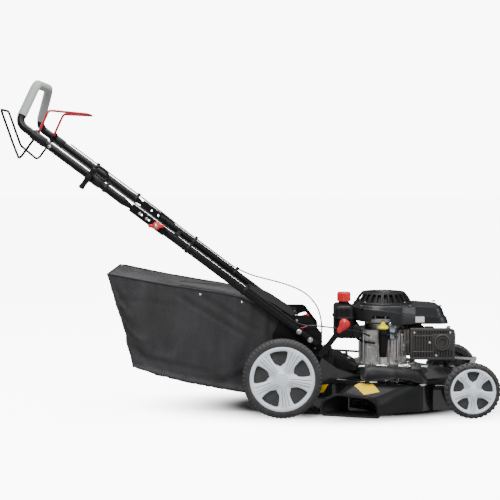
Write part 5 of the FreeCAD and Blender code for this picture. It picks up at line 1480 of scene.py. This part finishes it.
def muffler_guard():
    """Black grille: upright slats between two bars, a collar round the outlet and its fixing screws."""
    face = -136.0
    parts = []
    frame_bars = [((418, 172), (562, 180)), ((418, 266), (556, 274)), ((418, 180), (425, 266)),
                  ((552, 180), (562, 266)), ((425, 196), (490, 201)), ((425, 248), (490, 252.5))]
    for (x0, z0), (x1, z1) in frame_bars:
        parts.append(box_mesh(at(x0, face, z0), at(x1, face + 6, z1), 0.0022))
    for x in range(427, 554, 9):
        near_outlet = abs(x + 2 - 521) < 34
        for low_z, high_z in ((176, 206), (254, 270)) if near_outlet else ((176, 270),):
            parts.append(box_mesh(at(x, face + 0.6, low_z), at(x + 4.4, face + 6.5, high_z), 0.0013))
    panels = [((488, 0.4, 203), (556, 4.5, 257), 0.006), ((420, 9, 176), (560, 10, 270), 0.0003),
              ((418, 2, 174), (422, -110 - face, 272), 0.0015),
              ((558, 2, 174), (562, -110 - face, 268), 0.0015),
              ((418, 2, 270), (550, -110 - face, 274), 0.0015),
              ((418, 2, 172), (562, -110 - face, 176), 0.0015)]
    for low, high, edge in panels:
        parts.append(box_mesh(at(low[0], face + low[1], low[2]), at(high[0], face + high[1], high[2]),
                              edge))
    centre = at(521, 0, 230)
    centre.y = 0
    out = Y_AXIS * -1
    near = MIDDLE_Y * -1
    rim = [(19.5, 128), (19.5, 138), (21.5, 141), (25.5, 141), (27.5, 138.5), (27.5, 134), (25, 132),
           (25, 128)]
    parts.append(revolved([(r * MM, near + h * MM) for r, h in rim], centre, out, 64, closed=True))
    for k in range(6):
        angle = math.pi * k / 3 + 0.3
        spot = centre + Vector((math.cos(angle) * 0.0262, MIDDLE_Y - 0.1385, math.sin(angle) * 0.0262))
        parts.append(turned([(0.2, 0), (2.2, 0), (1.8, 1.4), (0.2, 1.6)], spot, out, 14))
    finished("silencer_guard", parts, "guard", replaces=("muffler_guard",))
    screws = [screw_head(at(x, face + 0.2, z), out, 0.0030)
              for x, z in ((480, 229), (501, 187), (430, 261), (546, 262))]
    finished("guard_screws", screws, "zinc")
    strip = box_mesh(at(562.5, -122, 216), at(566, -112, 258), 0.001)
    lug = box_mesh(at(536, -126, 274), at(548, -114, 282), 0.0015)
    finished("guard_strap", [strip, lug], "zinc")


def cylinder_dressing():
    """Extra cooling fins seen between the crankcase and the guard, and the plug's lead."""
    fins = []
    for k in range(9):
        x = 402 + k * 4.6
        fins.append(slab([at(x, y, z) for y, z in ((-100, 186), (-100, 262), (-94, 268), (-56, 268),
                                                   (-56, 180), (-94, 180))],
                         X_AXIS, -0.0008, 0.0008, 0.0004, 1))
    finished("side_fins", fins, "fins")
    lead = nurbs_line([at(499, 98, 222), at(499, 112, 226), at(488, 124, 244), at(462, 118, 266),
                       at(440, 104, 278), at(424, 98, 286)], 10)
    finished("plug_lead", swept(lead, 0.0033, 14), "sleeve")


def height_grip():
    """Pear-shaped hand grip with moulded ridges."""
    lever_angle = math.radians(53)
    up = Vector((math.cos(lever_angle), 0, math.sin(lever_angle)))
    centre = middle_of("height_grip")
    side = Y_AXIS.cross(up)
    rings = []
    count = 56
    profile = [(-27, 2), (-26.4, 6), (-24, 7.4), (-19, 8.2), (-13, 9.6), (-6, 12.2), (1, 15.4), (7, 17.2),
               (13, 17.2), (18, 15.2), (21.5, 11), (23.5, 5.5), (24, 0.6)]
    fine = []
    for (h0, r0), (h1, r1) in zip(profile, profile[1:]):
        fine += [(h0 + (h1 - h0) * k / 3, r0 + (r1 - r0) * k / 3) for k in range(3)]
    fine.append(profile[-1])
    for height, radius in fine:
        ridge = smooth_step(height, -20, -8) * (1 - smooth_step(height, 14, 22))
        ring = []
        for k in range(count):
            angle = 2 * math.pi * k / count
            r = radius * (1 - 0.11 * ridge * (0.5 + 0.5 * math.cos(angle * 12)))
            ring.append(centre + up * height * MM + (side * math.cos(angle) + Y_AXIS * math.sin(angle)
                                                     * 0.92) * r * MM)
        rings.append(ring)
    finished("height_knob", loft(rings), "red", "height_adjuster", replaces=("height_grip",))


# ---- deck, flaps and chute ----------------------------------------------------------------------
SIDE_PIN_Y, SIDE_PIN_Z = -226, 164
CHUTE_ROOT, CHUTE_REACH = -247, 76                 # Y of the duct's root, and how far it stands out


def side_chute():
    """Moulded chute: rounded duct that sweeps from the deck's side to a flared, rolled mouth."""
    def ring(share, inset):
        """Section of the duct; share runs from the deck to the mouth."""
        x0, x1 = 206 - 82 * share, 446 - 150 * share ** 0.8
        low_rear, low_front = 24 + 8 * share, 24 - 2 * share
        high_rear = 116 - 28 * smooth_step(share, 0, 1)
        high_front = 112 - 34 * smooth_step(share, 0, 1)
        slope = 0.30 + 0.45 * share
        corners = [(x0 + inset, low_rear + inset), (x1 - inset, low_front + inset),
                   (x1 - 5 * share - inset, high_front - 28 * slope - inset),
                   (x1 - 40 * slope - inset, high_front - inset * 0.6 - 2),
                   (x0 + 46 + inset * 0.5, high_rear - inset),
                   (x0 + inset, high_rear - 14 - 6 * share - inset)]
        return rounded_outline(corners, [9 + 5 * share, 8, 16 + 8 * share, 26, 30, 13 + 12 * share], 132)

    rings = []
    for k in range(19):
        share = k / 18
        y = CHUTE_ROOT - CHUTE_REACH * share
        flare = 4.5 * smooth_step(share, 0.80, 1.0)
        rings.append([at(x, y, z) for x, z in ring(share, -flare)])
    lip = [(1.0, -6.6, -324.6), (1.0, -7.2, -327.0), (1.0, -6.2, -329.4), (1.0, -3.4, -330.4),
           (1.0, -0.6, -329.2), (1.0, 0.8, -326.4)]
    for share, inset, y in lip:
        rings.append([at(x, y, max(z, 13.0)) for x, z in ring(share, inset)])
    for k in range(18, -1, -1):
        share = k / 18
        rings.append([at(x, CHUTE_ROOT - CHUTE_REACH * share, z) for x, z in ring(share, 2.8)])
    rings.append([at(x, CHUTE_ROOT, z) for x, z in ring(0, 1.4)])
    mesh = loft(rings, caps=False, looped=True)
    finished("discharge_chute", mesh, "plastic", "side_chute", replaces=("side_chute",), sharp=35)
    hooks = []
    for x in (262, 330, 398):
        hooks.append(box_mesh(at(x, -250, 104), at(x + 14, -240, 121), 0.002))
    finished("chute_hooks", hooks, "plastic", "side_chute")


def side_flap():
    """Curved cover over the side opening: rounded ends, a lipped lower edge and a torsion spring."""
    top_line = ((247, 160), (268, 166), (291, 169), (340, 166), (390, 162), (430, 156), (457, 142))
    low_line = ((247, 123), (270, 121), (300, 126), (356, 131), (400, 127), (457, 111))

    def level(line, x):
        return float(np.interp(x, [p[0] for p in line], [p[1] for p in line]))

    rings, spans, steps = [], 60, 14
    for k in range(spans + 1):
        x = 247 + 210 * k / spans
        end = smooth_step(min(x - 247, 457 - x), -2, 16)
        top, low = level(top_line, x) - 9 * (1 - end), level(low_line, x) + 7 * (1 - end)
        outer, inner = [], []
        for i in range(steps + 1):
            t = i / steps
            bend = math.radians(96) * t
            y = -229 - 33 * math.sin(min(bend, math.pi / 2)) - 4 * t + 5 * (1 - end)
            z = top - (top - low) * (1 - math.cos(bend)) / (1 - math.cos(math.radians(96)))
            ridge = 1.1 * max(0.0, math.cos((x - 262) / 14.2)) ** 4 * smooth_step(t, 0.25, 0.5)
            lip = 2.4 * smooth_step(t, 0.90, 0.97)
            outer.append((y - ridge - lip, z))
            inner.append((y + 3.2 - 0.5 * lip, z - 2.6 * (1 - t)))
        rings.append([at(x, y, z) for y, z in outer + inner[::-1]])
    parts = [loft(rings)]
    for x in (262, 334, 408):
        parts.append(turned([(3.1, 0), (6.6, 0.4), (6.6, 33.6), (3.1, 34)], at(x, SIDE_PIN_Y, SIDE_PIN_Z),
                            X_AXIS, 28, closed=True))
        parts.append(slab([at(x, y, z) for y, z in ((-230, 168), (-244, 158), (-240, 140), (-228, 150))],
                          X_AXIS, 0.001, 0.033, 0.001, 2))
    finished("side_cover", parts, "plastic", "side_flap", replaces=("side_flap",), sharp=35)
    coil = []
    for k in range(161):
        turn = k / 160 * 2 * math.pi * 9
        coil.append(at(379 + k / 160 * 22, SIDE_PIN_Y, SIDE_PIN_Z)
                    + Vector((0, math.cos(turn), math.sin(turn))) * 0.0078)
    coil += [at(402, -240, 150), at(403, -252, 136)]
    finished("side_spring", swept(coil, 0.0009, 8), "zinc")


FLAP_PIN_X, FLAP_PIN_Z = 48, 305.2


def rear_spring():
    """Helical torsion spring on the rear flap's pin, with its two legs."""
    coil = [at(20, -105.5, 318), at(34, -105.5, 313)]
    for k in range(241):
        turn = k / 240 * 2 * math.pi * 7.0 + math.pi / 2
        coil.append(at(FLAP_PIN_X, -104.8 + k / 240 * 23, FLAP_PIN_Z)
                    + Vector((math.cos(turn), 0, math.sin(turn))) * 0.0074)
    coil += [at(62, -81.5, 308), at(74, -81.5, 300)]
    mesh = swept(coil, 0.0013, 10)
    finished("flap_spring", mesh, "zinc", replaces=("rear_flap_spring",))


def labels(cowl_label):
    """Plain stickers with rounded corners; they carry no print."""
    finished("cowl_label", cowl_label, "white")
    outline = [(118, 96), (150, 98), (134, 72), (118, 70)]
    finished("deck_label", slab([at(x, -172.8, z) for x, z in outline], Y_AXIS, -0.0004, 0.0004, 0.0001, 1),
             "label")


def chute_label():
    """The chute's sticker follows its sloping roof."""
    chute = bpy.data.objects["discharge_chute"]
    outline = [(226, -270), (246, -252), (284, -257), (304, -288), (254, -304)]
    centre = Vector((262, -278, 0))
    bpy.context.view_layer.update()
    local = chute.matrix_world.inverted()
    loops = []
    for scale in (1.0, 0.8, 0.6, 0.4, 0.2, 0.0):
        loop = []
        fine = []
        for a, b in zip(outline, outline[1:] + outline[:1]):
            fine += [(a[0] + (b[0] - a[0]) * k / 6, a[1] + (b[1] - a[1]) * k / 6) for k in range(6)]
        for x, y in fine:
            spot = centre + (Vector((x, y, 0)) - centre) * max(scale, 0.01)
            start = at(spot.x, spot.y, 200)
            hit, place, normal, _ = chute.ray_cast(local @ start, Vector((0, 0, -1)))
            loop.append(place + normal * 0.0005 if hit else start - Z_AXIS * 0.09)
        loops.append(loop)
    mesh = loft(loops, caps=False)
    finished("chute_label", mesh, "label", "side_chute")


def deck_dressing():
    """Belt cover and bolts on the deck."""
    rings = []
    for x, z, half, tall in ((128, 196, 64, 2), (134, 202, 70, 16), (152, 196, 74, 22), (180, 184, 76, 24),
                             (212, 173, 74, 24), (236, 163, 70, 20), (246, 156, 66, 10)):
        outline = rounded_outline([(-half, z - tall - 14), (half, z - tall - 14), (half, z), (-half, z)],
                                  [3, 3, 9, 9], 48)
        rings.append([at(x, y - 36, h) for y, h in outline])
    finished("belt_cover", loft(rings), "plastic", sharp=35)
    parts = []
    for x, y, z in ((148, 18, 198), (148, -92, 198), (220, -92, 172), (220, 18, 172)):
        parts.append(hex_mesh(at(x, y, z - 1), (0.35, 0, 0.94), 0.010, 0.006))
    for x, y in ((470, -170), (560, -172), (600, -120), (470, 170), (560, 172), (600, 120)):
        parts.append(hex_mesh(at(x, y, 103.6), Z_AXIS, 0.010, 0.006))
    finished("deck_bolts", parts, "zinc")


def make_engine():
    label = engine_cowl()
    recoil_cover()
    fuel_tank()
    caps_and_filler()
    engine_front()
    muffler_guard()
    cylinder_dressing()
    height_grip()
    return label


def make_deck(cowl_label):
    side_chute()
    side_flap()
    rear_spring()
    labels(cowl_label)
    chute_label()
    deck_dressing()


# ---- finishes of the CAD parts that stay --------------------------------------------------------
KEPT = {
    "enamel": ["deck_shell"],
    "tube": ["handle_brackets", "height_lever", "lower_handle", "upper_handle", "drive_bail"],
    "plastic": ["wash_port", "rear_flap", "carburettor"],
    "zinc": ["flap_pins", "rear_axle", "front_axle", "link_rod", "crankshaft", "blade_bolt",
             "gearbox_pulley", "drive_shaft", "fasteners", "bag_frame"],
    "guard": ["muffler"],
    "cast": ["crankcase", "cylinder_head", "gearbox", "flywheel"],
    "fins": ["cylinder"],
    "sleeve": ["spark_plug"],
    "dark_steel": ["blade"],
    "belt": ["drive_belt"],
    "red_wire": ["brake_bail"],
}


def finish_kept_parts():
    for finish, nodes in KEPT.items():
        for node in nodes:
            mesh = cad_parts[node].data
            mesh.materials.clear()
            mesh.materials.append(MATERIALS[finish])
            for face in mesh.polygons:
                face.use_smooth = True
            mesh.set_sharp_from_angle(angle=math.radians(30))


def main():
    make_camera()
    make_studio()
    make_wheels()
    make_bag()
    make_handle()
    cowl_label = make_engine()
    make_deck(cowl_label)
    finish_kept_parts()


main()
